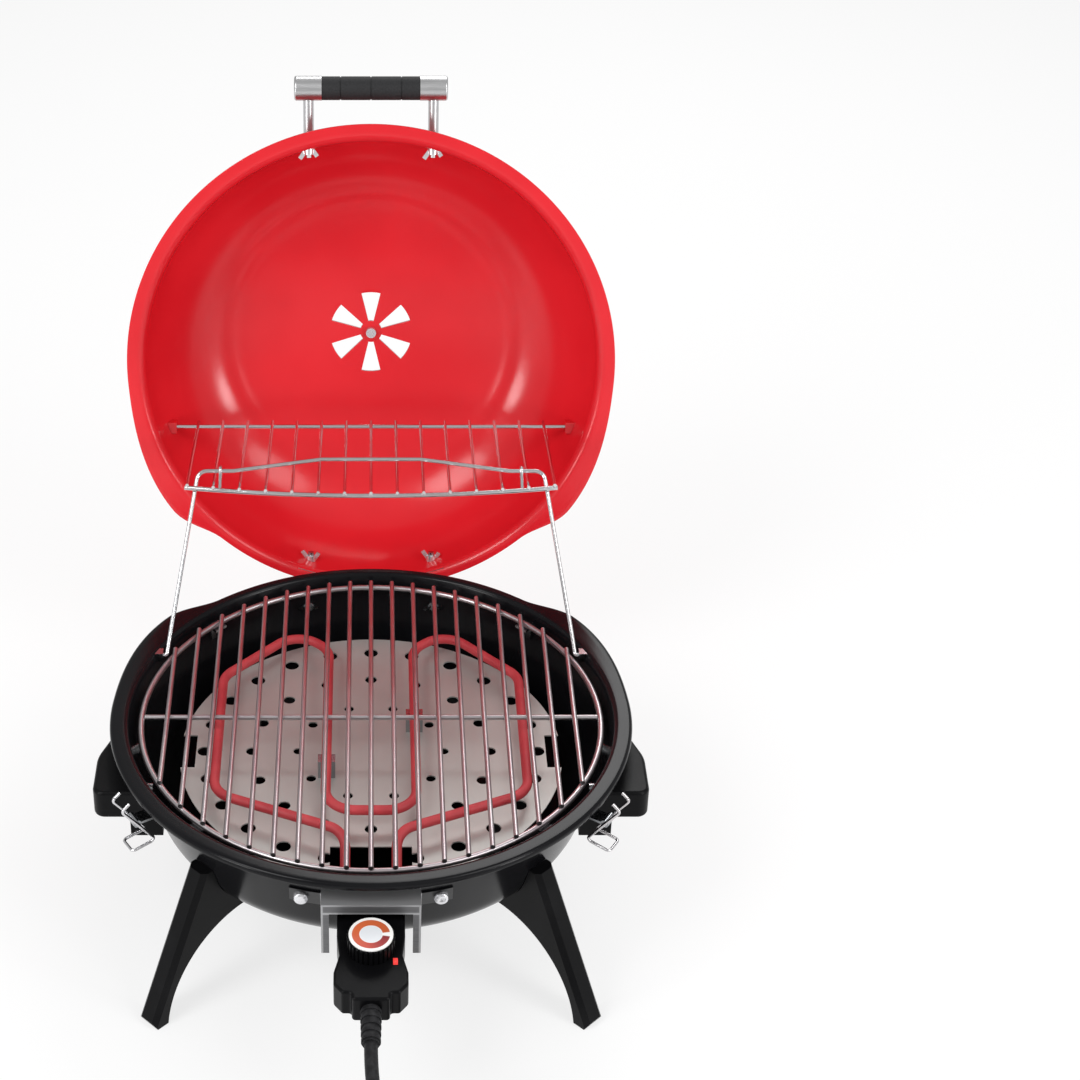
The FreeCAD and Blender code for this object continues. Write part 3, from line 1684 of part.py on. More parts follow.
def make_tie():
    """A strap round the coil's right side."""
    inner = "(coil_outer_radius - coil_step - cord_radius - 4 * seat_gap)"
    outer = "(coil_outer_radius + cord_radius + 2 * seat_gap)"
    span = f"({outer} - {inner})"
    rise = "(2 * cord_radius + coil_step + 2 * coil_lift)"
    across = "coil_centre_y + coil_step / 2 - tie_width / 2"
    band = box(
        "tie_band",
        f"{span} + 2 * tie_thickness",
        "tie_width",
        rise,
        x=f"coil_centre_x + {inner} - tie_thickness",
        y=across,
    )
    hollow = box(
        "tie_hollow",
        span,
        "tie_width + 2 * overrun",
        f"{rise} - 2 * tie_thickness",
        x=f"coil_centre_x + {inner}",
        y=f"{across} - overrun",
        z="tie_thickness",
    )
    node("cord_tie", cut("tie_strap", band, [hollow]), base_place)


def make_plug(tail):
    """A moulded plug with a tapered boot, two flat blades and a round earth pin."""
    back = Rotation(Vector(0, 1, 0), -90)
    middle = {"y": f"{tail.y}", "z": f"{tail.z}"}
    face = "(plug_boot_length + plug_body_length)"
    boot = cone(
        "plug_boot",
        "plug_boot_tip_radius",
        "plug_boot_root_radius",
        "plug_boot_length",
        x=f"{tail.x}",
        turn=back,
        **middle,
    )
    barrel = cylinder(
        "plug_barrel",
        "plug_body_radius",
        "plug_body_length",
        x=f"{tail.x} - plug_boot_length",
        turn=back,
        **middle,
    )

    def rims(edge):
        return edge.isClosed()

    soft = rounded("plug_barrel_soft", barrel, size("plug_edge_radius"), rims)
    node("plug_body", fuse("plug_moulding", [boot, soft]), base_place)
    pins = []
    for side, word in SIDES:
        pins.append(
            box(
                f"plug_blade_{word}",
                "plug_blade_length",
                "plug_blade_thickness",
                "plug_blade_width",
                x=f"{tail.x} - {face} - plug_blade_length",
                y=f"{tail.y} + {side} * plug_blade_half_span - plug_blade_thickness / 2",
                z=f"{tail.z}",
            )
        )
    pins.append(
        cylinder(
            "plug_earth_pin",
            "plug_earth_radius",
            "plug_earth_length",
            x=f"{tail.x} - {face}",
            y=f"{tail.y}",
            z=f"{tail.z} - plug_earth_drop",
            turn=back,
        )
    )
    node("plug_pins", group("plug_pin_set", pins), base_place)


coil_tail = make_cord()
make_tie()
make_plug(coil_tail)


# Lid, its vent and its handle


def crown_cap(name, gap, thickness, reach):
    """A cap that follows the lid's crown at a gap above it, as far out as the reach."""

    def at(radius, share):
        angle = math.acos(reach / radius)
        turn = angle + (math.pi / 2 - angle) * share
        return Vector(radius * math.cos(turn), 0, crown_centre_z + radius * math.sin(turn))

    low = crown_radius + gap
    high = low + thickness
    edges = [
        Part.Arc(at(low, 0), at(low, 0.5), at(low, 1)).toShape(),
        Part.LineSegment(at(low, 1), at(high, 1)).toShape(),
        Part.Arc(at(high, 1), at(high, 0.5), at(high, 0)).toShape(),
        Part.LineSegment(at(high, 0), at(low, 0)).toShape(),
    ]
    return turned_form(name, Part.Face(Part.Wire(edges)))


def vent_wedges(name):
    """The ring of wedge-shaped openings, as cutters."""
    wedges = []
    for count in range(VENT_SLOTS):
        start = 90 + 360 / VENT_SLOTS * count - size("vent_slot_degrees") / 2
        reach = "2 * vent_outer_radius"
        wedge = cylinder(
            f"{name}_{count}",
            "vent_outer_radius",
            reach,
            z=f"{crown_top_z} - vent_outer_radius",
            turn=Rotation(UP, start),
        )
        bind(wedge, Angle="vent_slot_degrees")
        core = cylinder(
            f"{name}_{count}_core", "vent_inner_radius", reach, z=f"{crown_top_z} - vent_outer_radius"
        )
        wedges.append(cut(f"{name}_{count}_open", wedge, [core]))
    return wedges


def make_vent():
    """A turning cap over the vent, and the bolt it turns on."""
    cap = crown_cap("damper_cap", size("damper_gap"), size("damper_thickness"), size("damper_radius"))
    bore = cylinder(
        "damper_bore",
        "vent_bolt_radius + running_gap",
        "vent_outer_radius",
        z=f"{crown_top_z} - vent_outer_radius / 2",
    )
    pierced = cut("damper_pierced", cap, vent_wedges("damper_wedge") + [bore])
    between = Rotation(UP, 90 + 180 / VENT_SLOTS)
    tab = box(
        "damper_tab",
        "damper_thickness",
        "damper_tab_width",
        "damper_tab_length",
        x="damper_radius - 2 * damper_thickness",
        y="-damper_tab_width / 2",
        z=f"{crown_top_z} - damper_thickness",
    )
    trimmed = cut(
        "damper_tab_seated",
        tab,
        [
            crown_cap(
                "damper_tab_room",
                -size("damper_radius"),
                size("damper_radius") + size("damper_gap"),
                size("damper_radius") + size("overrun"),
            ),
        ],
    )
    node(
        "vent_damper",
        fuse("damper", [pierced, copied("damper_tab_turn", trimmed, Placement(Vector(), between))]),
        lid_place,
    )
    seat = f"{crown_top_z} + damper_gap + damper_thickness + seat_gap"
    head = cylinder("vent_bolt_head", "bolt_head_radius", "bolt_head_height", z=seat)
    shank = cylinder(
        "vent_bolt_shank",
        "vent_bolt_radius",
        "damper_thickness * 2 + lid_wall + nut_hub_height * 2",
        z=f"{seat} - damper_thickness * 2 - lid_wall - nut_hub_height",
    )
    nut = cylinder(
        "vent_bolt_nut", "nut_hub_radius", "nut_hub_height", z=f"{crown_top_z} - lid_wall - nut_hub_height"
    )
    trimmed_shank = common(
        "vent_bolt_reach",
        shank,
        cylinder(
            "vent_bolt_limit",
            "bolt_head_radius",
            "2 * vent_outer_radius",
            z=f"{seat} - 2 * vent_outer_radius",
        ),
    )
    node(
        "vent_bolt",
        fuse("vent_bolt_whole", [head, trimmed_shank, common("vent_bolt_nut_seat", nut, lid_seat)]),
        lid_place,
    )


def make_lid_handle():
    """A round grip between two sleeves, on two posts that pass through the lid's wall."""
    height = rim_z + size("lid_handle_above_rim")
    reach = -size("lid_handle_reach")
    half = size("lid_handle_length") / 2

    def along(x):
        return Vector(x, reach, height)

    sleeve = size("lid_handle_sleeve_length")
    grip = rod("lid_grip_bar", along(sleeve - half), along(half - sleeve), "lid_handle_grip_radius")
    spacing = size("lid_handle_seam_spacing")
    seam_half = size("lid_handle_seam_width") / 2
    seams = []
    for count in (-1, 0, 1):
        outer = rod(
            f"lid_seam_{count + 1}_outer",
            along(count * spacing - seam_half),
            along(count * spacing + seam_half),
            "lid_handle_grip_radius * 2",
        )
        inner = rod(
            f"lid_seam_{count + 1}_inner",
            along(count * spacing - 2 * seam_half),
            along(count * spacing + 2 * seam_half),
            "lid_handle_grip_radius - lid_handle_seam_depth",
        )
        seams.append(cut(f"lid_seam_{count + 1}", outer, [inner]))
    node("lid_handle_grip", cut("lid_grip", grip, seams), lid_place)
    sleeves = []
    posts = []
    nuts = []
    holes = []
    for side, word in SIDES:
        across = side * size("lid_post_half_span")
        wall = -lid_wall_place(across, height)
        cap = rod(
            f"lid_sleeve_{word}_blank",
            along(side * (half - sleeve)),
            along(side * half),
            "lid_handle_sleeve_radius",
        )

        def outer_rim(edge, side=side):
            return edge.isClosed() and abs(edge.BoundBox.Center.x - side * half) < size("weld_sink")

        soft = rounded(f"lid_sleeve_{word}_soft", cap, size("lid_handle_edge_radius"), outer_rim)
        centre = along(across)
        seat = Vector(across, wall, height)
        thread_end = Vector(across, wall + size("nut_hub_height") + size("bolt_head_height"), height)
        socket = rod(f"lid_sleeve_{word}_socket", centre, seat, "lid_post_radius + running_gap")
        sleeves.append(cut(f"lid_sleeve_{word}", soft, [socket]))
        stem = cut(
            f"lid_post_{word}_seat",
            rod(f"lid_post_{word}_stem", centre, seat, "lid_post_radius"),
            [lid_outside],
        )
        thread = rod(f"lid_post_{word}_thread", centre, thread_end, "hinge_bolt_radius")
        posts.append(fuse(f"lid_post_{word}", [stem, thread]))
        turn = Rotation(UP, thread_end - centre)
        blank = copied(f"lid_nut_{word}_place", wing_nut(f"lid_nut_{word}"), Placement(seat, turn))
        bore = rod(f"lid_nut_{word}_bore", centre, thread_end, "hinge_bolt_radius + running_gap")
        nuts.append(cut(f"lid_nut_{word}_bored", common(f"lid_nut_{word}_seat", blank, lid_seat), [bore]))
        holes.append(
            rod(
                f"lid_post_hole_{word}",
                centre,
                Vector(across, wall / 2, height),
                "hinge_bolt_radius + bolt_gap",
            ),
        )
    node("lid_handle_sleeves", group("lid_sleeve_set", sleeves), lid_place)
    node("lid_handle_posts", group("lid_post_set", posts), lid_place)
    node("lid_handle_nuts", group("lid_nut_set", nuts), lid_place)
    return holes


def make_lid(holes):
    base = rim_z + size("lid_gap")
    flange = extrude("lid_flange", flange_face(size("lid_flange_radius"), base), UP, "lid_wall")
    shell = cut("lid_open", fuse("lid_body", [lid_outside, flange]), [lid_inside])
    bolt_hole = cylinder(
        "vent_bolt_hole",
        "vent_bolt_radius + bolt_gap",
        "vent_outer_radius",
        z=f"{crown_top_z} - vent_outer_radius / 2",
    )
    node("lid_shell", cut("lid_pierced", shell, vent_wedges("lid_wedge") + [bolt_hole] + holes), lid_place)


# Hinges


def make_hinges():
    """A bolted bracket on the bowl, a pin, and a bolted leaf on the lid, on each side."""
    base = rim_z + size("lid_gap") + size("lid_wall")
    strap = size("hinge_strap_thickness")
    half = size("hinge_strap_width") / 2
    cheek = size("hinge_cheek")
    gap = size("seat_gap")
    knuckle = size("hinge_knuckle_radius")
    lid_skin = turned_form("hinge_lid_skin", dome_face(-strap)[0])
    bowl_skin = cone(
        "hinge_bowl_skin",
        "bowl_floor_radius + bowl_wall + hinge_cheek",
        "bowl_mouth_radius + bowl_wall + hinge_cheek",
        "bowl_depth",
        z=FLOOR,
    )
    lid_bolt_z = rim_z + size("hinge_bolt_above_rim")
    bowl_bolt_z = rim_z - size("hinge_bolt_below_rim")
    lid_holes = []
    pins = []
    sets = {
        "lid_hinge_bolts": [], "lid_hinge_nuts": [], "hinge_bracket_bolts": [], "hinge_bracket_nuts": []
    }
    for side, word in SIDES:
        name = f"hinge_{word}"
        middle = side * size("hinge_half_span")

        def axis(x):
            return Vector(middle + x, hinge_y, hinge_z)

        def slab(label, y_from, y_to, z_from, z_to, x_half=half):
            part = doc.addObject("Part::Box", f"{name}_{label}")
            part.Length = 2 * x_half
            part.Width = y_to - y_from
            part.Height = z_to - z_from
            part.Placement = Placement(Vector(middle - x_half, y_from, z_from), Rotation())
            return part

        lid_wall = lid_wall_place(middle, lid_bolt_z)
        bolt, nut, hole = wall_bolt(
            f"lid_hinge_bolt_{word}",
            middle,
            lid_bolt_z,
            lid_wall,
            "hinge_strap_thickness",
            lid_skin,
            lid_seat,
        )
        sets["lid_hinge_bolts"].append(bolt)
        sets["lid_hinge_nuts"].append(nut)
        lid_holes.append(hole)
        back = hinge_y + knuckle
        barrel = rod(name + "_barrel", axis(-half), axis(half), "hinge_knuckle_radius")
        strip = slab("strip", back - strap, back, hinge_z, base + strap)
        shelf = slab("shelf", lid_wall, back, base, base + strap)
        tab_box = slab("tab_box", size("bowl_floor_radius"), hinge_y, base, base + size("hinge_tab_height"))
        tab = common(name + "_tab", tab_box, lid_skin)
        pin_bore = rod(
            name + "_pin_bore", axis(-2 * half), axis(2 * half), "hinge_pin_radius + running_gap"
        )
        leaf = cut(
            name + "_leaf_seated",
            fuse(name + "_leaf_blank", [barrel, strip, shelf, tab]),
            [lid_outside, pin_bore, hole],
        )
        node(f"lid_hinge_leaf_{word}", leaf, lid_place)

        wall = bowl_wall_place(middle, bowl_bolt_z)
        bolt, nut, hole = wall_bolt(
            f"bracket_bolt_{word}", middle, bowl_bolt_z, wall, "hinge_cheek", bowl_skin, bowl_seat
        )
        sets["hinge_bracket_bolts"].append(bolt)
        sets["hinge_bracket_nuts"].append(nut)
        outer = half + gap + cheek
        low = hinge_z - size("hinge_bracket_drop")
        high = rim_z - size("hinge_bolt_below_rim") + size("hinge_bracket_rise")
        web_box = slab("web_box", size("bowl_floor_radius"), hinge_y, low, high, outer)
        web = common(name + "_web", web_box, bowl_skin)
        cheeks = []
        for end in (-1, 1):
            plate = doc.addObject("Part::Box", f"{name}_cheek_{end + 1}")
            plate.Length = cheek
            plate.Width = back - size("bowl_floor_radius")
            plate.Height = 2 * knuckle
            inner = middle + end * (half + gap) - (cheek if end < 0 else 0)
            plate.Placement = Placement(
                Vector(inner, size("bowl_floor_radius"), hinge_z - knuckle), Rotation()
            )
            cheeks.append(plate)
        bracket = cut(
            name + "_bracket_seated",
            fuse(name + "_bracket_blank", [web] + cheeks),
            [bowl_outside, copied(name + "_pin_bore_again", pin_bore, Placement()), hole],
        )
        node(f"hinge_bracket_{word}", bracket, base_place)
        shaft = rod(name + "_shaft", axis(-outer - gap), axis(outer + gap), "hinge_pin_radius")
        heads = [
            rod(
                f"{name}_pin_head_{end + 1}",
                axis(end * (outer + gap)),
                axis(end * (outer + gap + cheek)),
                "hinge_pin_radius + bolt_gap * 6",
            ) for end in (-1, 1)
        ]
        pins.append(fuse(name + "_pin", [shaft] + heads))
    node("hinge_pins", group("hinge_pin_set", pins), base_place)
    for label, things in sets.items():
        node(label, group(label + "_set", things), lid_place if label.startswith("lid") else base_place)
    return lid_holes


# Warming rack

rack_foot = Vector(
    size("rack_foot_half_span"), size("rack_foot_y"), size("grate_height") + size("rack_foot_above_grate")
)
rack_step = Vector(0, size("rack_leg_back"), size("rack_leg_rise"))
rack_top = Vector(size("rack_top_half_span"), rack_foot.y + rack_step.y, rack_foot.z + rack_step.z)
shelf_rear = Vector(size("shelf_rear_half_width"), hinge_y + rack_step.y, hinge_z + rack_step.z)


def mirrored(points):
    return [Vector(-point.x, point.y, point.z) for point in reversed(points)]


def make_rack_legs():
    """One bent wire: two stub feet, two legs and a top bar with a low arch."""
    arch = rack_step * (size("rack_top_arch") / rack_step.Length)
    bar_end = size("shelf_ring_place") - size("rack_bar_past_ring")
    arch_end = bar_end - size("rack_arch_run")
    half = [
        rack_foot + Vector(size("rack_stub_length"), 0, 0),
        rack_foot,
        rack_top,
        Vector(bar_end, rack_top.y, rack_top.z),
        Vector(arch_end, rack_top.y, rack_top.z) + arch,
    ]
    bend = size("rack_bend_radius")
    bends = [size("rack_foot_bend_radius"), bend, bend, bend]
    path = route_wire(half + mirrored(half), bends + bends[::-1])
    node("rack_legs", form("rack_leg_wire", swept(path, size("rack_wire_radius"))), base_place)
    clips = []
    for side, word in SIDES:
        edge = "rack_clip_size"
        clip_middle = "(rack_foot_half_span + rack_foot_bend_radius + bolt_gap + rack_clip_depth / 2)"
        block = box(
            f"rack_clip_{word}_block",
            "rack_clip_depth",
            edge,
            edge,
            x=f"{side} * {clip_middle} - rack_clip_depth / 2",
            y=f"rack_foot_y - {edge} / 2",
            z=f"grate_height + rack_foot_above_grate - {edge} / 2",
        )
        foot = Vector(side * rack_foot.x, rack_foot.y, rack_foot.z)
        bore = rod(
            f"rack_clip_{word}_bore",
            foot,
            foot + Vector(side * size("rack_stub_length") * 2, 0, 0),
            "rack_wire_radius + running_gap",
        )
        clips.append(cut(f"rack_clip_{word}", common(f"rack_clip_{word}_seat", block, bowl_seat), [bore]))
    node("rack_clips", group("rack_clip_set", clips), base_place)


def make_rack_shelf():
    """A bowed front rail and a straight rear rail under a row of wires, hung by two rings."""
    front_y = rack_top.y - size("shelf_front_set")
    front_z = rack_top.z - size("shelf_front_drop")
    half = size("shelf_front_half_width")
    bow = size("shelf_bow")
    arc = Part.Arc(
        Vector(-half, front_y, front_z), Vector(0, front_y - bow, front_z), Vector(half, front_y, front_z)
    )
    front = form("shelf_front_rail", swept(Part.Wire([arc.toShape()]), size("shelf_rail_radius")))
    rear = rod(
        "shelf_rear_rail",
        Vector(-shelf_rear.x, shelf_rear.y, shelf_rear.z),
        shelf_rear,
        "shelf_rail_radius",
    )
    circle = arc.toShape().Curve
    hung = [front]
    wires = []
    lift = size("shelf_rail_radius") + size("shelf_wire_radius") + size("running_gap")
    count = int((half - size("shelf_rail_radius")) / size("shelf_wire_pitch"))
    for step in range(-count, count + 1):
        across = step * size("shelf_wire_pitch")
        on_front = Vector(across, circle.Center.y - math.sqrt(circle.Radius**2 - across**2), front_z)
        on_rear = Vector(across, shelf_rear.y, shelf_rear.z)
        along = (on_rear - on_front).normalize()
        up = Vector(1, 0, 0).cross(along)
        tip = along * size("shelf_tip")
        wires.append(
            rod(
                f"shelf_wire_{step + count}",
                on_front + up * lift - tip,
                on_rear + up * lift + tip,
                "shelf_wire_radius",
            )
        )
    for side, word in SIDES:
        across = side * size("shelf_ring_place")
        hub = Vector(across, rack_top.y, rack_top.z)
        ring = bind(
            doc.addObject("Part::Torus", f"shelf_ring_{word}"),
            Radius1="rack_wire_radius + running_gap + shelf_ring_wire_radius",
            Radius2="shelf_ring_wire_radius",
        )
        ring.Placement = Placement(hub, ALONG_X)
        on_front = Vector(across, circle.Center.y - math.sqrt(circle.Radius**2 - across**2), front_z)
        towards = (on_front - hub).normalize()
        start = hub + towards * (
            size("rack_wire_radius") + size("running_gap") + size("shelf_ring_wire_radius")
        )
        hung += [ring, rod(f"shelf_hanger_{word}", start, on_front, "shelf_ring_wire_radius")]
    node("rack_shelf", group("shelf_wires", [fuse("shelf_front", hung), rear] + wires), base_place)


def make_rack_eyes():
    """Two small blocks inside the lid that the shelf's rear rail turns in."""
    eye = turned_about_x(hinge_y, hinge_z, size("lid_open_degrees")).multVec(shelf_rear)
    blocks = []
    for side, word in SIDES:
        edge = size("rack_eye_size")
        depth = size("rack_eye_depth")
        block = doc.addObject("Part::Box", f"rack_eye_{word}_block")
        block.Length = 2 * depth
        block.Width = edge
        block.Height = edge
        start = side * (eye.x + depth / 2) - depth
        block.Placement = Placement(Vector(start, eye.y - edge / 2, eye.z - edge / 2), Rotation())
        inner = Vector(side * (eye.x - depth), eye.y, eye.z)
        outer = Vector(side * (eye.x + size("seat_gap")), eye.y, eye.z)
        bore = rod(f"rack_eye_{word}_bore", inner, outer, "shelf_rail_radius + seat_gap")
        blocks.append(cut(f"rack_eye_{word}", common(f"rack_eye_{word}_seat", block, lid_seat), [bore]))
    node("lid_rack_eyes", group("rack_eye_set", blocks), lid_place)


# Lid latches


def make_latches():
    """A bent wire with two hooks and a finger loop, on a barrel at the bowl's rim, drawn along +X."""
    pivot_r = size("latch_pivot_radius")
    pivot_z = rim_z - size("latch_pivot_below_rim")
    half = size("latch_half_width")
    wire = size("latch_wire_radius")
    top = rim_z + size("lid_gap") + size("lid_wall") + size("latch_hook_gap") + wire
    hook = pivot_r - size("latch_hook_reach")
    arm_low = pivot_z - size("latch_arm_drop")
    finger = Vector(pivot_r + size("latch_finger_out"), half, arm_low + size("latch_finger_rise"))
    side_points = [
        Vector(hook, half, top),
        Vector(pivot_r, half, top),
        Vector(pivot_r, half, arm_low),
        finger,
    ]
    points = side_points + [Vector(point.x, -point.y, point.z) for point in reversed(side_points)]
    bail = form("latch_bail", bent_wire(points, wire, size("latch_bend_radius")))
    cross = rod(
        "latch_cross_pin",
        Vector(pivot_r, -half, pivot_z),
        Vector(pivot_r, half, pivot_z),
        "latch_wire_radius",
    )
    latch = fuse("latch_wire", [bail, cross])
    barrel_half = size("latch_barrel_length") / 2
    barrel = rod(
        "latch_barrel",
        Vector(pivot_r, -barrel_half, pivot_z),
        Vector(pivot_r, barrel_half, pivot_z),
        "latch_barrel_radius",
    )
    tab = box(
        "latch_tab",
        "latch_pivot_radius - bowl_floor_radius",
        "latch_barrel_length",
        "latch_tab_thickness",
        x="bowl_floor_radius",
        y="-latch_barrel_length / 2",
        z=f"{RIM} - latch_pivot_below_rim - latch_tab_thickness / 2",
    )
    bore = rod(
        "latch_bore",
        Vector(pivot_r, -half, pivot_z),
        Vector(pivot_r, half, pivot_z),
        "latch_wire_radius + running_gap",
    )
    bracket = cut("latch_bracket", fuse("latch_bracket_blank", [barrel, tab]), [bowl_outside, bore])
    pivot = Vector(pivot_r, 0, pivot_z)
    swing = Placement(
        pivot, Rotation(Vector(0, 1, 0), size("latch_open_degrees"))
    ) * Placement(-pivot, Rotation())
    for side, word in SIDES:
        azimuth = size("latch_azimuth_degrees")
        turn = Placement(Vector(), Rotation(UP, -azimuth if side > 0 else 180 + azimuth))
        node(f"latch_bracket_{word}", copied(f"latch_bracket_{word}_turn", bracket, turn), base_place)
        node(f"latch_{word}", copied(f"latch_{word}_turn", latch, turn * swing), base_place)


handle_holes = make_lid_handle()
make_vent()
hinge_holes = make_hinges()
make_lid(handle_holes + hinge_holes)
make_rack_legs()
make_rack_shelf()
make_rack_eyes()
make_latches()


# Checks and export

doc.recompute()
faults = [thing.Name for thing in doc.Objects if set(thing.State) & {"Invalid", "Error"}]
for label, thing in nodes.items():
    if thing.Shape.isNull() or not thing.Shape.isValid():
        faults.append(label)
if faults:
    raise RuntimeError(f"faulty objects: {faults}")

os.makedirs("parts", exist_ok=True)
for label, thing in nodes.items():
    thing.Shape.exportStep(f"parts/{label}.step")

CORD_NODES = {"cord_strain_relief", "cord_lead", "cord_coil", "cord_tie", "plug_body", "plug_pins"}
whole = FreeCAD.BoundBox()
for label, thing in nodes.items():
    if label not in CORD_NODES:
        whole.add(thing.Shape.BoundBox)
print(len(nodes), "nodes; box", whole)
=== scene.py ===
"""Looks of the electric barbecue grill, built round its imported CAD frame."""
import json
import math

import bmesh
import bpy
import numpy as np
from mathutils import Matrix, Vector


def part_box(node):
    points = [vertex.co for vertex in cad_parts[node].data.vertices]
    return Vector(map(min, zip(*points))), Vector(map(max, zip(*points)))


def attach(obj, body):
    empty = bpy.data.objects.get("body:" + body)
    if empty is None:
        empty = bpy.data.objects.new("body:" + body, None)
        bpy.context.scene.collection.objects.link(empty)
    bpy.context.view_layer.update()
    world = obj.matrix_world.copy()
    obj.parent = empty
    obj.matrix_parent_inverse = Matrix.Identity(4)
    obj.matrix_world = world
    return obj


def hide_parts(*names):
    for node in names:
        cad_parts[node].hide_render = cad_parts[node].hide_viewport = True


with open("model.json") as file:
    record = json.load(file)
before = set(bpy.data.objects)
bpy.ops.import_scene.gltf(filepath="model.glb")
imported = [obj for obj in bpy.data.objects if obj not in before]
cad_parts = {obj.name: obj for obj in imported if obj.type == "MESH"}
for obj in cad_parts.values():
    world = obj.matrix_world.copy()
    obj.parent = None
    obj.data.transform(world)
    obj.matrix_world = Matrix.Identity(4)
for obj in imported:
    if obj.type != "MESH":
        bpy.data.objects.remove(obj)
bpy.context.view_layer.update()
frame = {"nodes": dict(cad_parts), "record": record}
nodes = frame["nodes"]

# Places that the looks share with the CAD frame, in metres
AXIS_Y = -0.0641
RIM_Z = 0.178
HINGE_Y = AXIS_Y + 0.206
HINGE_Z = 0.144
LID_OPEN = math.radians(102.5)
CONTROL = np.array([0.0, AXIS_Y - 0.19, 0.127])
CONTROL_TILT = math.radians(4.0)
DIAL_SETBACK = 0.042
GUARD_HALF = 0.0375
GUARD_TOP_Z = 0.156
GUARD_LIP_Z = 0.147


def on_control_axis(reach):
    """A point on the control's slanting axis, at a distance in front of its rear face."""
    return CONTROL + reach * np.array([0.0, -math.cos(CONTROL_TILT), -math.sin(CONTROL_TILT)])


def add_object(name, data):
    """A new object in the scene, at the origin."""
    thing = bpy.data.objects.new(name, data)
    bpy.context.scene.collection.objects.link(thing)
    return thing


# Shader expressions

MIX_FACTOR = 0
MIX_FIRST_COLOUR = 6
MIX_SECOND_COLOUR = 7
MIX_COLOUR_OUT = 2


class Socket:
    """A shader output that takes part in Python expressions on values."""

    def __init__(self, tree, output):
        self.tree = tree
        self.output = output

    def math(self, operation, *others):
        return add_node(self.tree, "ShaderNodeMath", {"operation": operation}, (self,) + others)

    def __add__(self, other):
        return self.math("ADD", other)

    __radd__ = __add__

    def __mul__(self, other):
        return self.math("MULTIPLY", other)

    __rmul__ = __mul__

    def __rsub__(self, other):
        return add_node(self.tree, "ShaderNodeMath", {"operation": "SUBTRACT"}, (other, self))

    def __truediv__(self, other):
        return self.math("DIVIDE", other)

    def fade(self, low, high):
        """0 below low, 1 above high and a smooth change between."""
        return add_node(
            self.tree,
            "ShaderNodeMapRange",
            {"interpolation_type": "SMOOTHSTEP"},
            {"Value": self, "From Min": low, "From Max": high},
        )

    def spread(self, low, reach):
        """The value from 0 to 1 carried over to the stretch from low to low + reach."""
        return low + reach * self


def add_node(tree, kind, settings=None, inputs=(), output=0):
    """Adds a node, sets it up, links or fills its sockets and gives one of its outputs."""
    node = tree.nodes.new(kind)
    for name, value in (settings or {}).items():
        if name == "stops":
            ramp = node.color_ramp
            while len(ramp.elements) < len(value):
                ramp.elements.new(1.0)
            for element, (place, colour) in zip(ramp.elements, value):
                element.position = place
                element.color = colour + (1.0,)
        else:
            setattr(node, name, value)
    pairs = inputs.items() if isinstance(inputs, dict) else enumerate(inputs)
    for key, value in pairs:
        if isinstance(value, Socket):
            tree.links.new(value.output, node.inputs[key])
        else:
            node.inputs[key].default_value = value
    return Socket(tree, node.outputs[output])


class Finish:
    """One procedural material: a Principled shader and the nodes that feed it."""

    def __init__(self, name, **numbers):
        self.material = bpy.data.materials.new(name)
        self.material.use_nodes = True
        self.tree = self.material.node_tree
        self.shader = self.tree.nodes["Principled BSDF"]
        for key, value in numbers.items():
            self.shader.inputs[key.replace("_", " ")].default_value = value

    def add(self, kind, settings=None, inputs=(), output=0):
        return add_node(self.tree, kind, settings, inputs, output)

    def place(self, centre=(0.0, 0.0, 0.0), turn=(0.0, 0.0, 0.0)):
        """Object coordinates seen from a frame with its own centre and turn."""
        coords = self.add("ShaderNodeTexCoord", output="Object")
        return self.add(
            "ShaderNodeMapping",
            {"vector_type": "TEXTURE"},
            {"Vector": coords, "Location": centre, "Rotation": turn},
        )

    def parts(self, vector):
        """A vector's x, y and z."""
        split = self.tree.nodes.new("ShaderNodeSeparateXYZ")
        self.tree.links.new(vector.output, split.inputs[0])
        return [Socket(self.tree, socket) for socket in split.outputs]

    def noise(self, vector, scale, detail=3.0, roughness=0.5):
        return self.add(
            "ShaderNodeTexNoise",
            None,
            {"Vector": vector, "Scale": scale, "Detail": detail, "Roughness": roughness},
        )

    def stretched(self, vector, scales):
        return self.add("ShaderNodeVectorMath", {"operation": "MULTIPLY"}, (vector, scales))

    def blend(self, factor, first, second):
        """A colour between two colours."""
        node = self.tree.nodes.new("ShaderNodeMix")
        node.data_type = "RGBA"
        self.tree.links.new(factor.output, node.inputs[MIX_FACTOR])
        for key, value in ((MIX_FIRST_COLOUR, first), (MIX_SECOND_COLOUR, second)):
            if isinstance(value, Socket):
                self.tree.links.new(value.output, node.inputs[key])
            else:
                node.inputs[key].default_value = value + (1.0,)
        return Socket(self.tree, node.outputs[MIX_COLOUR_OUT])

    def feed(self, **sockets):
        for key, value in sockets.items():
            self.tree.links.new(value.output, self.shader.inputs[key.replace("_", " ")])

    def bump(self, height, distance, strength=1.0):
        self.feed(
            Normal=self.add(
                "ShaderNodeBump", None, {"Strength": strength, "Distance": distance, "Height": height}
            )
        )


# Finishes

RUBBED_GAIN = 1.5
RUBBED_LIFT = 0.002
DIAL_BAND = {"inner": 0.0084, "outer": 0.0143, "edge": 0.0004, "gap": 0.03, "soft_end": 0.012}
DIAL_HEAT = [
    (0.0, (0.2, 0.004, 0.008)),
    (0.16, (0.32, 0.012, 0.012)),
    (0.3, (0.52, 0.06, 0.03)),
    (0.55, (0.62, 0.13, 0.045)),
    (1.0, (0.5, 0.1, 0.03)),
]
LENS_RIBS_PER_METRE = 5200.0 / (2.0 * math.pi)
GUARD_FOLD = 0.001


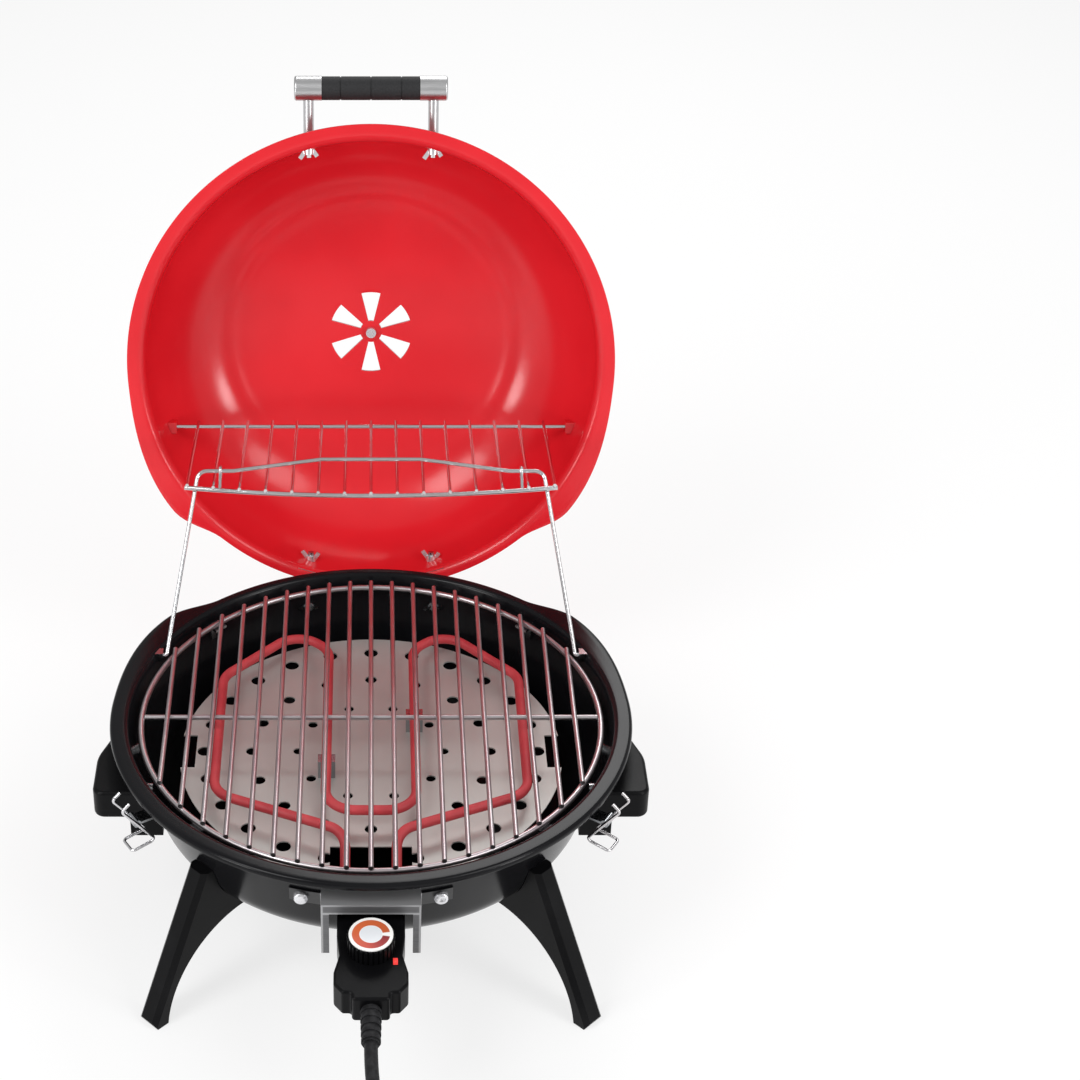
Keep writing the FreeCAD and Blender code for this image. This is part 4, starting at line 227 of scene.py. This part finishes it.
def enamel(name, deep, bright, peel, gloss):
    """Fired enamel: an even gloss with a faint orange-peel and slow shifts of shade."""
    finish = Finish(name, Specular_IOR_Level=gloss)
    place = finish.place()
    slow = finish.noise(place, scale=9.0, detail=2.0)
    fine = finish.noise(place, scale=420.0, detail=2.0)
    haze = finish.noise(place, scale=30.0, detail=4.0)
    finish.feed(Base_Color=finish.blend(slow.fade(low=0.3, high=0.7), deep, bright))
    finish.feed(Roughness=haze.spread(low=0.15, reach=0.09))
    finish.bump(fine, distance=peel, strength=0.5)
    return finish.material


def moulding(name, base, rough, grain):
    """Moulded plastic: a fine even grain and faint rubbed patches."""
    finish = Finish(name, Specular_IOR_Level=0.1)
    place = finish.place()
    rub = finish.noise(place, scale=22.0, detail=5.0)
    lighter = tuple(channel * RUBBED_GAIN + RUBBED_LIFT for channel in base)
    finish.feed(Base_Color=finish.blend(rub.fade(low=0.45, high=0.8), base, lighter))
    finish.feed(Roughness=rub.spread(low=rough, reach=0.14))
    finish.bump(finish.noise(place, scale=1500.0, detail=2.0), distance=grain)
    return finish.material


def plated(name, base, rough, tint, metal=1.0):
    """Bright plating: mirror-like with a slight haze and a warm tint in places."""
    finish = Finish(name, Metallic=metal)
    place = finish.place()
    haze = finish.noise(place, scale=60.0, detail=4.0)
    warm = finish.noise(place, scale=14.0)
    finish.feed(Base_Color=finish.blend(warm.fade(low=0.35, high=0.75), base, tint))
    finish.feed(Roughness=haze.spread(low=rough, reach=0.12))
    return finish.material


def brushed(name, base, dark, scales, rough):
    """Brushed sheet: fine lines along one way, in shade, gloss and relief."""
    finish = Finish(name, Metallic=1.0)
    place = finish.place()
    lines = finish.noise(finish.stretched(place, scales), scale=1.0, detail=4.0)
    cloud = finish.noise(place, scale=18.0, detail=3.0)
    finish.feed(Base_Color=finish.blend(0.5 * lines + 0.5 * cloud, dark, base))
    finish.feed(Roughness=lines.spread(low=rough, reach=0.18))
    finish.bump(lines, distance=0.00004)
    return finish.material


def reflector_sheet():
    """Rolled sheet with a warm dusty bloom that darkens towards the middle of the heat."""
    finish = Finish("reflector_sheet", Metallic=0.6)
    place = finish.place((0.0, AXIS_Y, 0.0))
    x, y, _ = finish.parts(place)
    radius = (x * x + y * y).math("SQRT")
    cloud = finish.noise(place, scale=16.0, detail=5.0)
    rolling = (30.0, 900.0, 30.0)
    lines = finish.noise(finish.stretched(place, rolling), scale=1.0, detail=3.0)
    cloud_share = 0.6
    bloom = cloud_share * cloud + (1.0 - cloud_share) * radius.fade(low=0.03, high=0.17)
    heated = (0.4, 0.39, 0.37)
    fresh = (0.7, 0.7, 0.67)
    finish.feed(Base_Color=finish.blend(bloom, heated, fresh))
    finish.feed(Roughness=cloud.spread(low=0.42, reach=0.22))
    finish.bump(lines, distance=0.00003)
    return finish.material


def glowing_sheath():
    """The element's sheath: a dull salmon red, a little brighter in patches, with an oxide grain."""
    finish = Finish("glowing_sheath", Emission_Strength=0.06)
    place = finish.place()
    patch = finish.noise(place, scale=25.0, detail=4.0)
    dull = (0.44, 0.03, 0.04)
    salmon = (0.58, 0.055, 0.065)
    shade = finish.blend(patch.fade(low=0.3, high=0.75), dull, salmon)
    finish.feed(Base_Color=shade)
    finish.feed(Emission_Color=shade)
    finish.feed(Roughness=patch.spread(low=0.38, reach=0.3))
    finish.bump(finish.noise(place, scale=900.0, detail=3.0), distance=0.00006)
    return finish.material


def dial_print():
    """White dial with a band in the shape of a C that goes from orange to deep red, round a pale middle."""
    finish = Finish("dial_print")
    centre = on_control_axis(DIAL_SETBACK)
    place = finish.place(tuple(centre), (CONTROL_TILT, 0.0, 0.0))
    x, y, _ = finish.parts(place)
    radius = (x * x + y * y).math("SQRT")
    turn = (y * -1.0).math("ARCTAN2", x * -1.0) / (2.0 * math.pi) + 0.5
    heat = finish.add("ShaderNodeValToRGB", {"stops": DIAL_HEAT}, {"Fac": 1.0 - turn})
    gap = DIAL_BAND["gap"]
    soft_end = DIAL_BAND["soft_end"]
    edge = DIAL_BAND["edge"]
    inner = DIAL_BAND["inner"]
    outer = DIAL_BAND["outer"]
    ends = turn.fade(gap - soft_end, gap) * (1.0 - turn.fade(1.0 - gap, 1.0 - gap + soft_end))
    band = radius.fade(inner, inner + edge) * (1.0 - radius.fade(outer - edge, outer)) * ends
    middle = (0.72, 0.74, 0.77)
    white = (0.86, 0.85, 0.83)
    paper = finish.blend(radius.fade(inner - edge, inner), middle, white)
    finish.feed(Base_Color=finish.blend(band, paper, heat))
    finish.feed(Roughness=finish.noise(place, scale=300.0).spread(low=0.28, reach=0.12))
    return finish.material


def lamp_red():
    """Clear red lens with a faint glow and a face ribbed by a sine wave; the grooves get painted shade and
    the ridges a painted highlight.
    """
    finish = Finish("lamp_red", Roughness=0.18, Emission_Strength=0.5, Coat_Weight=0.4)
    place = finish.place()
    _, y, _ = finish.parts(place)
    ribs = (y * (2.0 * math.pi * LENS_RIBS_PER_METRE)).math("SINE") * 0.5 + 0.5
    # Painted shade in the grooves and a painted highlight on the ridges, following the ribs.
    groove_painted_shade = (0.6, 0.015, 0.015)
    ridge_painted_highlight = (0.85, 0.06, 0.05)
    shade = finish.blend(ribs, groove_painted_shade, ridge_painted_highlight)
    finish.feed(Base_Color=shade)
    finish.feed(Emission_Color=shade)
    finish.bump(ribs, distance=0.0001)
    return finish.material


def guard_sheet():
    """Satin sheet with painted highlights along its folds; the strap beside the hood is black like the bowl.
    """
    finish = Finish("guard_sheet")
    place = finish.place()
    x, _, z = finish.parts(place)
    across = x.math("ABSOLUTE")
    rolling = (50.0, 900.0, 900.0)
    lines = finish.noise(finish.stretched(place, rolling), scale=1.0, detail=4.0)
    # Masks of the folds, where a painted highlight lightens the sheet.
    side_fold = across.fade(GUARD_HALF - 2.0 * GUARD_FOLD, GUARD_HALF - GUARD_FOLD)
    over_lip = z.fade(GUARD_LIP_Z + GUARD_FOLD, GUARD_LIP_Z + 2.0 * GUARD_FOLD)
    lip_fold = z.fade(GUARD_LIP_Z - GUARD_FOLD, GUARD_LIP_Z) * (1.0 - over_lip)
    top_fold = z.fade(GUARD_TOP_Z - 2.0 * GUARD_FOLD, GUARD_TOP_Z - GUARD_FOLD)
    folds = side_fold.math("MAXIMUM", lip_fold).math("MAXIMUM", top_fold)
    dark = (0.1, 0.1, 0.105)
    light = (0.2, 0.2, 0.205)
    # Painted highlight colour for the folds.
    fold_highlight = (0.5, 0.5, 0.51)
    black = (0.006, 0.006, 0.007)
    satin = finish.blend(lines, dark, light)
    fold_shine = 0.75
    hood = finish.blend(fold_shine * folds, satin, fold_highlight)
    strap = across.fade(GUARD_HALF + 0.5 * GUARD_FOLD, GUARD_HALF + GUARD_FOLD)
    finish.feed(Base_Color=finish.blend(strap, hood, black))
    hood_metal = 0.55
    finish.feed(Metallic=hood_metal * (1.0 - strap))
    finish.feed(Roughness=lines.spread(low=0.24, reach=0.2))
    finish.bump(lines, distance=0.00004)
    return finish.material


def hand_grip():
    """Soft black grip: a matt skin with fine pores."""
    finish = Finish("hand_grip", Specular_IOR_Level=0.3)
    place = finish.place()
    pores = finish.noise(place, scale=1100.0, detail=3.0, roughness=0.7)
    black = (0.012, 0.012, 0.013)
    grey = (0.03, 0.03, 0.032)
    finish.feed(Base_Color=finish.blend(pores.fade(low=0.3, high=0.8), black, grey))
    finish.feed(Roughness=pores.spread(low=0.55, reach=0.25))
    finish.bump(pores, distance=0.00012)
    return finish.material


def sheathing():
    """Cord covering: satin black with faint lighter patches."""
    finish = Finish("cord_sheathing", Specular_IOR_Level=0.15)
    place = finish.place()
    patch = finish.noise(place, scale=240.0, detail=4.0)
    black = (0.011, 0.011, 0.012)
    grey = (0.026, 0.026, 0.028)
    finish.feed(Base_Color=finish.blend(patch.fade(low=0.35, high=0.8), black, grey))
    finish.feed(Roughness=patch.spread(low=0.42, reach=0.2))
    finish.bump(patch, distance=0.00005)
    return finish.material


LID_RED = enamel(
    "lid_enamel", deep=(0.64, 0.011, 0.019), bright=(0.71, 0.016, 0.025), peel=0.00003, gloss=0.42
)
BOWL_BLACK = enamel(
    "bowl_enamel", deep=(0.004, 0.004, 0.005), bright=(0.007, 0.007, 0.008), peel=0.00003, gloss=0.14
)
LEG_BLACK = moulding("leg_moulding", base=(0.004, 0.004, 0.0045), rough=0.3, grain=0.00006)
CONTROL_BLACK = moulding("control_moulding", base=(0.003, 0.003, 0.0035), rough=0.22, grain=0.00004)
CHROME = plated("chrome_wire", base=(0.72, 0.72, 0.74), rough=0.08, tint=(0.62, 0.58, 0.58))
GRATE_CHROME = plated("grate_wire", base=(0.5, 0.47, 0.48), rough=0.3, tint=(0.4, 0.33, 0.35))
ZINC = plated("zinc_plating", base=(0.42, 0.43, 0.44), rough=0.16, tint=(0.3, 0.31, 0.33))
BRIGHT_ZINC = plated(
    "bright_zinc", base=(0.82, 0.82, 0.84), rough=0.16, tint=(0.66, 0.66, 0.69), metal=0.75
)
SATIN = brushed(
    "satin_steel", base=(0.66, 0.66, 0.66), dark=(0.46, 0.46, 0.47), scales=(60.0, 1200.0, 1200.0), rough=0.26
)
GUARD = guard_sheet()
REFLECTOR = reflector_sheet()
SHEATH = glowing_sheath()
DIAL = dial_print()
LAMP = lamp_red()
GRIP = hand_grip()
CORD = sheathing()
BRASS = plated("plug_brass", base=(0.72, 0.5, 0.2), rough=0.18, tint=(0.62, 0.42, 0.16))

NODE_FINISHES = {
    "bowl": BOWL_BLACK,
    "lid_shell": LID_RED,
    "heating_element": SHEATH,
    "reflector_plate": REFLECTOR,
    "cooking_grate": GRATE_CHROME,
    "grate_ring": GRATE_CHROME,
    "rack_legs": CHROME,
    "rack_shelf": CHROME,
    "latch_left": CHROME,
    "latch_right": CHROME,
    "control_guard": GUARD,
    "dial_disc": DIAL,
    "indicator_lens": LAMP,
    "lid_handle_grip": GRIP,
    "plug_pins": BRASS,
    "lid_rack_eyes": LID_RED,
    "lid_handle_nuts": BRIGHT_ZINC,
    "lid_hinge_nuts": BRIGHT_ZINC,
    "vent_bolt": BRIGHT_ZINC,
    "control_guard_bolts": BRIGHT_ZINC,
}
SLOT_FINISHES = {
    "moulded_black": LEG_BLACK,
    "control_plastic": CONTROL_BLACK,
    "zinc_steel": ZINC,
    "satin_steel": SATIN,
    "cord_rubber": CORD,
}
slots = {entry["node"]: entry["material_slot"] for entry in frame["record"]["subparts"]}
for name, thing in nodes.items():
    thing.data.materials.clear()
    thing.data.materials.append(NODE_FINISHES.get(name) or SLOT_FINISHES[slots[name]])


# Pressed shells

COLUMNS = 240
EAR = {"tongue_end": 40.0, "peak": 53.0, "end": 86.0, "reach": 0.008, "tuck": 0.005}
SHEET_WALL = 0.002
EDGE = {"width": 0.0006, "segments": 2, "sharper_than": math.radians(50.0)}
LID_FOOT_Z = RIM_Z + 0.0005
LID_HUB = 0.097
LID_SHOULDER = 0.104
LID_SHOULDER_END = math.radians(72.0)
LID_FILLET = 0.006
LID_FLANGE = 0.2145
LID_FLANGE_SHARES = (0.25, 0.5, 0.75, 1.0)
LID_BEAD = {"place": 0.129, "width": 0.005, "depth": 0.0007}
LID_ROWS = {"hub": 3, "vent": 8, "crown": 30, "shoulder": 48, "hollow": 9}
VENT = {"bolt": 0.0028, "inner": 0.01, "outer": 0.038, "slots": 6, "open": 27.0}
BOWL_FLOOR_Z = 0.082
BOWL_HUB = 0.001
BOWL_FOOT = 0.168
BOWL_MOUTH = 0.198
BOWL_BEND = 0.04
BOWL_FILLET = 0.004
BOWL_ROLL = 0.003
BOWL_LIP = 0.0055
BOWL_FLANGE = 0.212
BOWL_FLAT_SHARES = (0.35, 0.7)
BOWL_ROWS = {"floor": 20, "bend": 16, "wall": 14, "mouth": 8, "roll": 6}
BOLT_COLUMNS = 24
BOLT_ROWS = 9
BOLT_X = 0.053
BOLT_Z = 0.142
BOLT_HEAD = 0.0055
BOLT_DOME = 0.0024
BOLT_SEAT = 0.0003
POLE_MERGE = 0.00001


def ease(share):
    """A smooth step from 0 to 1: three squares less two cubes of the share."""
    share = np.clip(share, 0.0, 1.0)
    return share * share * (3.0 - 2.0 * share)


def flange_reach(radius, angles):
    """The flange's outline: a round front, an ear at each rear corner and a tucked-in rear tongue."""
    off_rear = np.abs((np.degrees(angles) - 90.0 + 180.0) % 360.0 - 180.0)
    rise = ease((off_rear - EAR["tongue_end"]) / (EAR["peak"] - EAR["tongue_end"]))
    fall = ease((EAR["end"] - off_rear) / (EAR["end"] - EAR["peak"]))
    before = radius - EAR["tuck"] + (EAR["tuck"] + EAR["reach"]) * rise
    after = radius + EAR["reach"] * fall
    return np.where(off_rear <= EAR["peak"], before, after)


def arc(centre_r, centre_z, radius, start, end, count):
    """Points of a circular arc in the section plane, as rows of radius and height."""
    turn = np.linspace(start, end, count)
    return np.column_stack([centre_r + radius * np.cos(turn), centre_z + radius * np.sin(turn)])


def ring_angles(columns):
    """Even steps of a full turn."""
    return np.arange(columns) * (2.0 * math.pi / columns)


def ring_quads(row_count, columns):
    """Quads between neighbouring rows of a grid that closes on itself round an axis."""
    rows = np.arange(row_count - 1)[:, None] * columns
    here = np.arange(columns)[None, :]
    ahead = (here + 1) % columns
    return np.stack([rows + here, rows + columns + here, rows + columns + ahead, rows + ahead], axis=2)


def shell_grid(section, flange, outline, keep):
    """A pressed sheet: a section turned round the axis.

    The section's rows keep their radius all round. The flange's rows give the share of the way from the
    section's last radius to the outline, how far they stop short of it, and their height.
    """
    angles = ring_angles(COLUMNS)
    inner = np.repeat(section[:, :1], COLUMNS, axis=1)
    root = section[-1, 0]
    outer = root + (outline(angles)[None, :] - root) * flange[:, :1] - flange[:, 1:2]
    radius = np.concatenate([inner, outer])
    height = np.repeat(np.concatenate([section[:, 1], flange[:, 2]])[:, None], COLUMNS, axis=1)
    points = np.stack([radius * np.cos(angles), AXIS_Y + radius * np.sin(angles), height], axis=2)
    return points, ring_quads(len(radius), COLUMNS)[keep(radius, angles)]


def smooth_shading(mesh):
    mesh.polygons.foreach_set("use_smooth", np.ones(len(mesh.polygons), dtype=bool))


def sheet_object(name, points, faces, node, body, finish):
    """The mesh of a sheet, given its wall and soft edges by modifiers."""
    mesh = bpy.data.meshes.new(name)
    mesh.from_pydata(points.reshape(-1, 3), [], faces)
    smooth_shading(mesh)
    mesh.materials.append(finish)
    thing = add_object(name, mesh)
    wall = thing.modifiers.new("wall", "SOLIDIFY")
    wall.thickness = SHEET_WALL
    wall.offset = -1.0
    wall.use_even_offset = True
    edge = thing.modifiers.new("edge", "BEVEL")
    edge.width = EDGE["width"]
    edge.segments = EDGE["segments"]
    edge.limit_method = "ANGLE"
    edge.angle_limit = EDGE["sharper_than"]
    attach(thing, body)
    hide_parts(node)


def lid_section():
    """Crown arc from the vent's bolt hole, shoulder arc, hollow fillet, and a soft bead pressed into them.

    The bead is a bell curve of the radius, taken off the height.
    """
    cosine = math.cos(LID_SHOULDER_END)
    crown = (LID_HUB + LID_SHOULDER * cosine) / cosine
    crown_z = LID_FOOT_Z + (LID_SHOULDER - crown) * math.sin(LID_SHOULDER_END)
    places = np.concatenate(
        [
            np.linspace(VENT["bolt"], VENT["inner"], LID_ROWS["hub"])[:-1],
            np.linspace(VENT["inner"], VENT["outer"], LID_ROWS["vent"])[:-1],
            np.linspace(VENT["outer"], crown * cosine, LID_ROWS["crown"])[:-1],
        ]
    )
    top = np.column_stack([places, crown_z + np.sqrt(crown**2 - places**2)])
    flange_z = LID_FOOT_Z + SHEET_WALL
    fillet_z = flange_z + LID_FILLET
    low = math.asin((fillet_z - LID_FOOT_Z) / (LID_SHOULDER + LID_FILLET))
    shoulder = arc(LID_HUB, LID_FOOT_Z, LID_SHOULDER, LID_SHOULDER_END, low, LID_ROWS["shoulder"])
    fillet_r = LID_HUB + (LID_SHOULDER + LID_FILLET) * math.cos(low)
    hollow = arc(fillet_r, fillet_z, LID_FILLET, math.pi + low, 1.5 * math.pi, LID_ROWS["hollow"])[1:]
    section = np.concatenate([top, shoulder, hollow])
    off_bead = (section[:, 0] - LID_BEAD["place"]) / LID_BEAD["width"]
    section[:, 1] -= LID_BEAD["depth"] * np.exp(-(off_bead**2))
    return section, np.array([(share, 0.0, flange_z) for share in LID_FLANGE_SHARES])


def make_lid():
    """The lid's dome with its vent wedges, swung open about the hinge."""
    section, flange = lid_section()

    def keep(radius, angles):
        middle = (radius[:-1, :1] + radius[1:, :1]) / 2
        in_ring = (middle > VENT["inner"]) & (middle < VENT["outer"])
        step = 360.0 / VENT["slots"]
        half_column = 180.0 / COLUMNS
        off_rear = np.degrees(angles)[None, :] + half_column - 90.0
        off_slot = np.abs((off_rear + step / 2) % step - step / 2)
        return ~(in_ring & (off_slot < VENT["open"] / 2))

    points, quads = shell_grid(section, flange, lambda angles: flange_reach(LID_FLANGE, angles), keep)
    back = points[..., 1] - HINGE_Y
    up = points[..., 2] - HINGE_Z
    points[..., 1] = HINGE_Y + back * math.cos(LID_OPEN) + up * math.sin(LID_OPEN)
    points[..., 2] = HINGE_Z - back * math.sin(LID_OPEN) + up * math.cos(LID_OPEN)
    sheet_object("lid_dome", points, quads.tolist(), "lid_shell", "lid", LID_RED)


def bowl_section():
    """Flat floor, a wide bend, a sloping wall, a rounded mouth, and a flange that rolls over into a lip."""
    lean = math.atan2(BOWL_MOUTH - BOWL_FOOT, RIM_Z - BOWL_FLOOR_Z)
    half_turn = (math.pi / 2 - lean) / 2
    floor_end = BOWL_FOOT - BOWL_BEND * math.tan(half_turn)
    floor_r = np.linspace(BOWL_HUB, floor_end, BOWL_ROWS["floor"])[:-1]
    floor = np.column_stack([floor_r, np.full(len(floor_r), BOWL_FLOOR_Z)])
    bend = arc(floor_end, BOWL_FLOOR_Z + BOWL_BEND, BOWL_BEND, -math.pi / 2, -lean, BOWL_ROWS["bend"])
    mouth_r = BOWL_MOUTH + BOWL_FILLET * math.tan(half_turn)
    mouth_z = RIM_Z - BOWL_FILLET
    mouth = arc(mouth_r, mouth_z, BOWL_FILLET, math.pi - lean, math.pi / 2, BOWL_ROWS["mouth"])
    between = np.linspace(0.0, 1.0, BOWL_ROWS["wall"])[1:-1, None]
    wall = bend[-1] + (mouth[0] - bend[-1]) * between
    turn = np.linspace(math.pi / 2, 0.0, BOWL_ROWS["roll"])
    short = BOWL_ROLL * (1.0 - np.cos(turn))
    drop = BOWL_ROLL * (1.0 - np.sin(turn))
    flat = [(share, share * BOWL_ROLL, RIM_Z) for share in BOWL_FLAT_SHARES]
    roll = np.column_stack([np.ones(len(turn)), short, RIM_Z - drop])
    lip = [(1.0, 0.0, RIM_Z - BOWL_LIP)]
    return np.concatenate([floor, bend, wall, mouth]), np.concatenate([flat, roll, lip])


def make_bowl():
    """The bowl with its rolled rim; its floor closes in the middle."""
    section, flange = bowl_section()

    def keep(radius, angles):
        return np.ones((len(radius) - 1, len(angles)), dtype=bool)

    points, quads = shell_grid(section, flange, lambda angles: flange_reach(BOWL_FLANGE, angles), keep)
    points = points.reshape(-1, 3)
    spokes = np.arange(COLUMNS)
    middle = np.array([[0.0, AXIS_Y, BOWL_FLOOR_Z]])
    fans = np.column_stack([np.full(COLUMNS, len(points)), spokes, (spokes + 1) % COLUMNS])
    points = np.concatenate([points, middle])
    sheet_object("bowl_pressing", points, quads.tolist() + fans.tolist(), "bowl", "base", BOWL_BLACK)


def make_bolt_caps():
    """Domed faces on the guard's two bolts: a quarter circle, squashed and turned round each bolt's axis."""
    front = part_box("control_guard_bolts")[0][1]
    turn = np.linspace(0.0, math.pi / 2, BOLT_ROWS)
    dome = np.column_stack([BOLT_HEAD * np.sin(turn), front - BOLT_DOME * np.cos(turn)])
    section = np.concatenate([dome, [(BOLT_HEAD, front + BOLT_SEAT), (0.0, front + BOLT_SEAT)]])
    angles = ring_angles(BOLT_COLUMNS)
    faces = ring_quads(len(section), BOLT_COLUMNS).reshape(-1, 4)
    x = section[:, :1] * np.cos(angles)
    y = np.repeat(section[:, 1:], BOLT_COLUMNS, axis=1)
    z = BOLT_Z + section[:, :1] * np.sin(angles)
    caps = [np.stack([x + across, y, z], axis=2).reshape(-1, 3) for across in (-BOLT_X, BOLT_X)]
    mesh = bpy.data.meshes.new("guard_bolt_caps")
    mesh.from_pydata(np.concatenate(caps), [], np.concatenate([faces, faces + len(caps[0])]).tolist())
    closed = bmesh.new()
    closed.from_mesh(mesh)
    bmesh.ops.remove_doubles(closed, verts=closed.verts, dist=POLE_MERGE)
    bmesh.ops.recalc_face_normals(closed, faces=closed.faces)
    closed.to_mesh(mesh)
    closed.free()
    smooth_shading(mesh)
    mesh.materials.append(BRIGHT_ZINC)
    thing = add_object("guard_bolt_caps", mesh)
    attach(thing, "base")


make_lid()
make_bowl()
make_bolt_caps()


# Supply cord

CORD_RADIUS = 0.005
CORD_ROUND_STEPS = 5
CORD_CURVE_STEPS = 6
CORD_CURVE_ORDER = 3
COIL_CENTRE = (0.125, -0.364)
COIL_RADIUS = 0.064
COIL_STEP = 0.011
COIL_LOW = 0.0065
COIL_HALF_TURNS = 7
CLIMBING_HALF_TURN = COIL_HALF_TURNS // 2
POINTS_PER_HALF_TURN = 12
COIL_LEAD = 0.01
COIL_TAIL = 0.024
RELIEF_END = 0.124
LEAD_STRAIGHT = 0.152
LEAD_CORNERS = [
    (0.006, -0.374, 0.104),
    (0.024, -0.404, 0.072),
    (0.052, -0.424, 0.032),
    (0.084, -0.428, COIL_LOW),
    (COIL_CENTRE[0] - COIL_LEAD, COIL_CENTRE[1] - COIL_RADIUS, COIL_LOW),
]


def cord_route():
    """The lead's corners, then half turns of circles that go in, climb one layer and go out again.

    The curve only comes near its control points, so each half turn's points lie on a circle that is wider
    by a spread that depends on their number.
    """
    axis = np.array([0.0, AXIS_Y, 0.0])
    inwards = [COIL_RADIUS - count * COIL_STEP / 2 for count in range(CLIMBING_HALF_TURN)]
    radii = inwards + [inwards[-1] - COIL_STEP / 2] + inwards[::-1]
    spread = 4.0 / (3.0 + math.cos(math.pi / POINTS_PER_HALF_TURN))
    share = (np.arange(POINTS_PER_HALF_TURN) + 0.5) / POINTS_PER_HALF_TURN
    y = COIL_CENTRE[1] - COIL_RADIUS
    turns = []
    for number, radius in enumerate(radii):
        way = 1.0 if number % 2 == 0 else -1.0
        middle = y + way * radius
        climb = ease(share) if number == CLIMBING_HALF_TURN else np.zeros(len(share))
        layer = climb + (1.0 if number > CLIMBING_HALF_TURN else 0.0)
        turns.append(
            np.stack(
                [
                    COIL_CENTRE[0] + way * spread * radius * np.sin(math.pi * share),
                    middle - way * spread * radius * np.cos(math.pi * share),
                    COIL_LOW + COIL_STEP * layer,
                ],
                axis=1,
            )
        )
        y += 2.0 * way * radius
    top = COIL_LOW + COIL_STEP
    tail = np.array([(COIL_CENTRE[0] - COIL_TAIL / 2, y, top), (COIL_CENTRE[0] - COIL_TAIL, y, top)])
    exits = np.array([on_control_axis(RELIEF_END), on_control_axis(LEAD_STRAIGHT)])
    return np.concatenate([exits, axis + np.concatenate([np.array(LEAD_CORNERS)] + turns + [tail])])


def make_cord():
    """A round cord carried along its route by a smooth curve."""
    route = cord_route()
    curve = bpy.data.curves.new("supply_cord", "CURVE")
    curve.dimensions = "3D"
    curve.bevel_depth = CORD_RADIUS
    curve.bevel_resolution = CORD_ROUND_STEPS
    curve.resolution_u = CORD_CURVE_STEPS
    curve.use_fill_caps = True
    spline = curve.splines.new("NURBS")
    spline.points.add(len(route) - 1)
    spline.points.foreach_set("co", np.column_stack([route, np.ones(len(route))]).ravel())
    spline.order_u = CORD_CURVE_ORDER
    spline.use_endpoint_u = True
    curve.materials.append(CORD)
    cord = add_object("supply_cord", curve)
    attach(cord, "base")
    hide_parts("cord_lead", "cord_coil")


make_cord()


# Studio

FLOOR_REACH = 60.0
FLOOR_PAPER = (0.88, 0.88, 0.88, 1.0)
FLOOR_GLOW = 0.72
WORLD_WHITE = (1.0, 1.0, 1.0, 1.0)
WORLD_STRENGTH = 0.5
LAMPS = {
    "key_light": {"place": (-1.4, -1.2, 2.2), "target": (0.0, 0.0, 0.2), "size": 1.2, "power": 28.0},
    "fill_light": {"place": (1.5, -1.1, 2.0), "target": (0.0, 0.0, 0.2), "size": 1.2, "power": 18.0},
    "right_strip": {"place": (1.31, -1.04, 0.6), "target": (0.0, 0.1, 0.3), "size": 0.42, "power": 6.5},
    "left_strip": {"place": (-1.27, -1.09, 0.57), "target": (0.0, 0.1, 0.3), "size": 0.42, "power": 6.5},
    "rim_light": {"place": (0.4, 1.8, 1.9), "target": (0.0, 0.1, 0.3), "size": 1.2, "power": 20.0},
}
PHOTO_PIXELS = 1080.0
PHOTO_MIDDLE_X = 371.0
FOCAL_PIXELS = 2299.0
SENSOR = 36.0
CAMERA_PLACE = (0.0, AXIS_Y - 1.487, 1.323)
CAMERA_DOWN = 33.37


def studio_floor():
    """A pale floor that keeps the shadow; rays from the camera and reflections see it nearly white."""
    corners = [(-1, -1), (1, -1), (1, 1), (-1, 1)]
    mesh = bpy.data.meshes.new("studio_floor")
    mesh.from_pydata([(x * FLOOR_REACH, y * FLOOR_REACH, 0.0) for x, y in corners], [], [(0, 1, 2, 3)])
    floor = add_object("studio_floor", mesh)
    finish = Finish("studio_paper", Roughness=0.9, Base_Color=FLOOR_PAPER)
    glow = finish.add("ShaderNodeEmission", None, {"Strength": 1.0})
    from_camera = finish.add("ShaderNodeLightPath", output="Is Camera Ray")
    from_gloss = finish.add("ShaderNodeLightPath", output="Is Glossy Ray")
    seen = from_camera.math("MAXIMUM", from_gloss)
    paper = Socket(finish.tree, finish.shader.outputs[0])
    mix = finish.add("ShaderNodeMixShader", None, {0: FLOOR_GLOW * seen, 1: paper, 2: glow})
    finish.tree.links.new(mix.output, finish.tree.nodes["Material Output"].inputs["Surface"])
    mesh.materials.append(finish.material)


def studio_light(name, place, target, size, power):
    """A round area lamp that faces its target."""
    lamp = bpy.data.lights.new(name, "AREA")
    lamp.shape = "DISK"
    lamp.size = size
    lamp.energy = power
    thing = add_object(name, lamp)
    thing.location = place
    thing.rotation_euler = (Vector(target) - Vector(place)).to_track_quat("-Z", "Y").to_euler()


def studio_world():
    """Even light from all round."""
    world = bpy.data.worlds.new("studio_world")
    world.use_nodes = True
    background = world.node_tree.nodes["Background"]
    background.inputs["Color"].default_value = WORLD_WHITE
    background.inputs["Strength"].default_value = WORLD_STRENGTH
    bpy.context.scene.world = world


def photo_camera():
    """The photo's own view: no yaw, looking down, with the frame shifted to the right."""
    lens = bpy.data.cameras.new("photo_camera")
    lens.sensor_width = SENSOR
    lens.lens = SENSOR * FOCAL_PIXELS / PHOTO_PIXELS
    lens.shift_x = (PHOTO_PIXELS / 2 - PHOTO_MIDDLE_X) / PHOTO_PIXELS
    camera = add_object("photo_camera", lens)
    camera.location = CAMERA_PLACE
    camera.rotation_euler = (math.radians(90.0 - CAMERA_DOWN), 0.0, 0.0)
    bpy.context.scene.camera = camera


studio_floor()
studio_world()
for lamp_name, settings in LAMPS.items():
    studio_light(lamp_name, **settings)
photo_camera()
bpy.context.scene.view_settings.view_transform = "Standard"
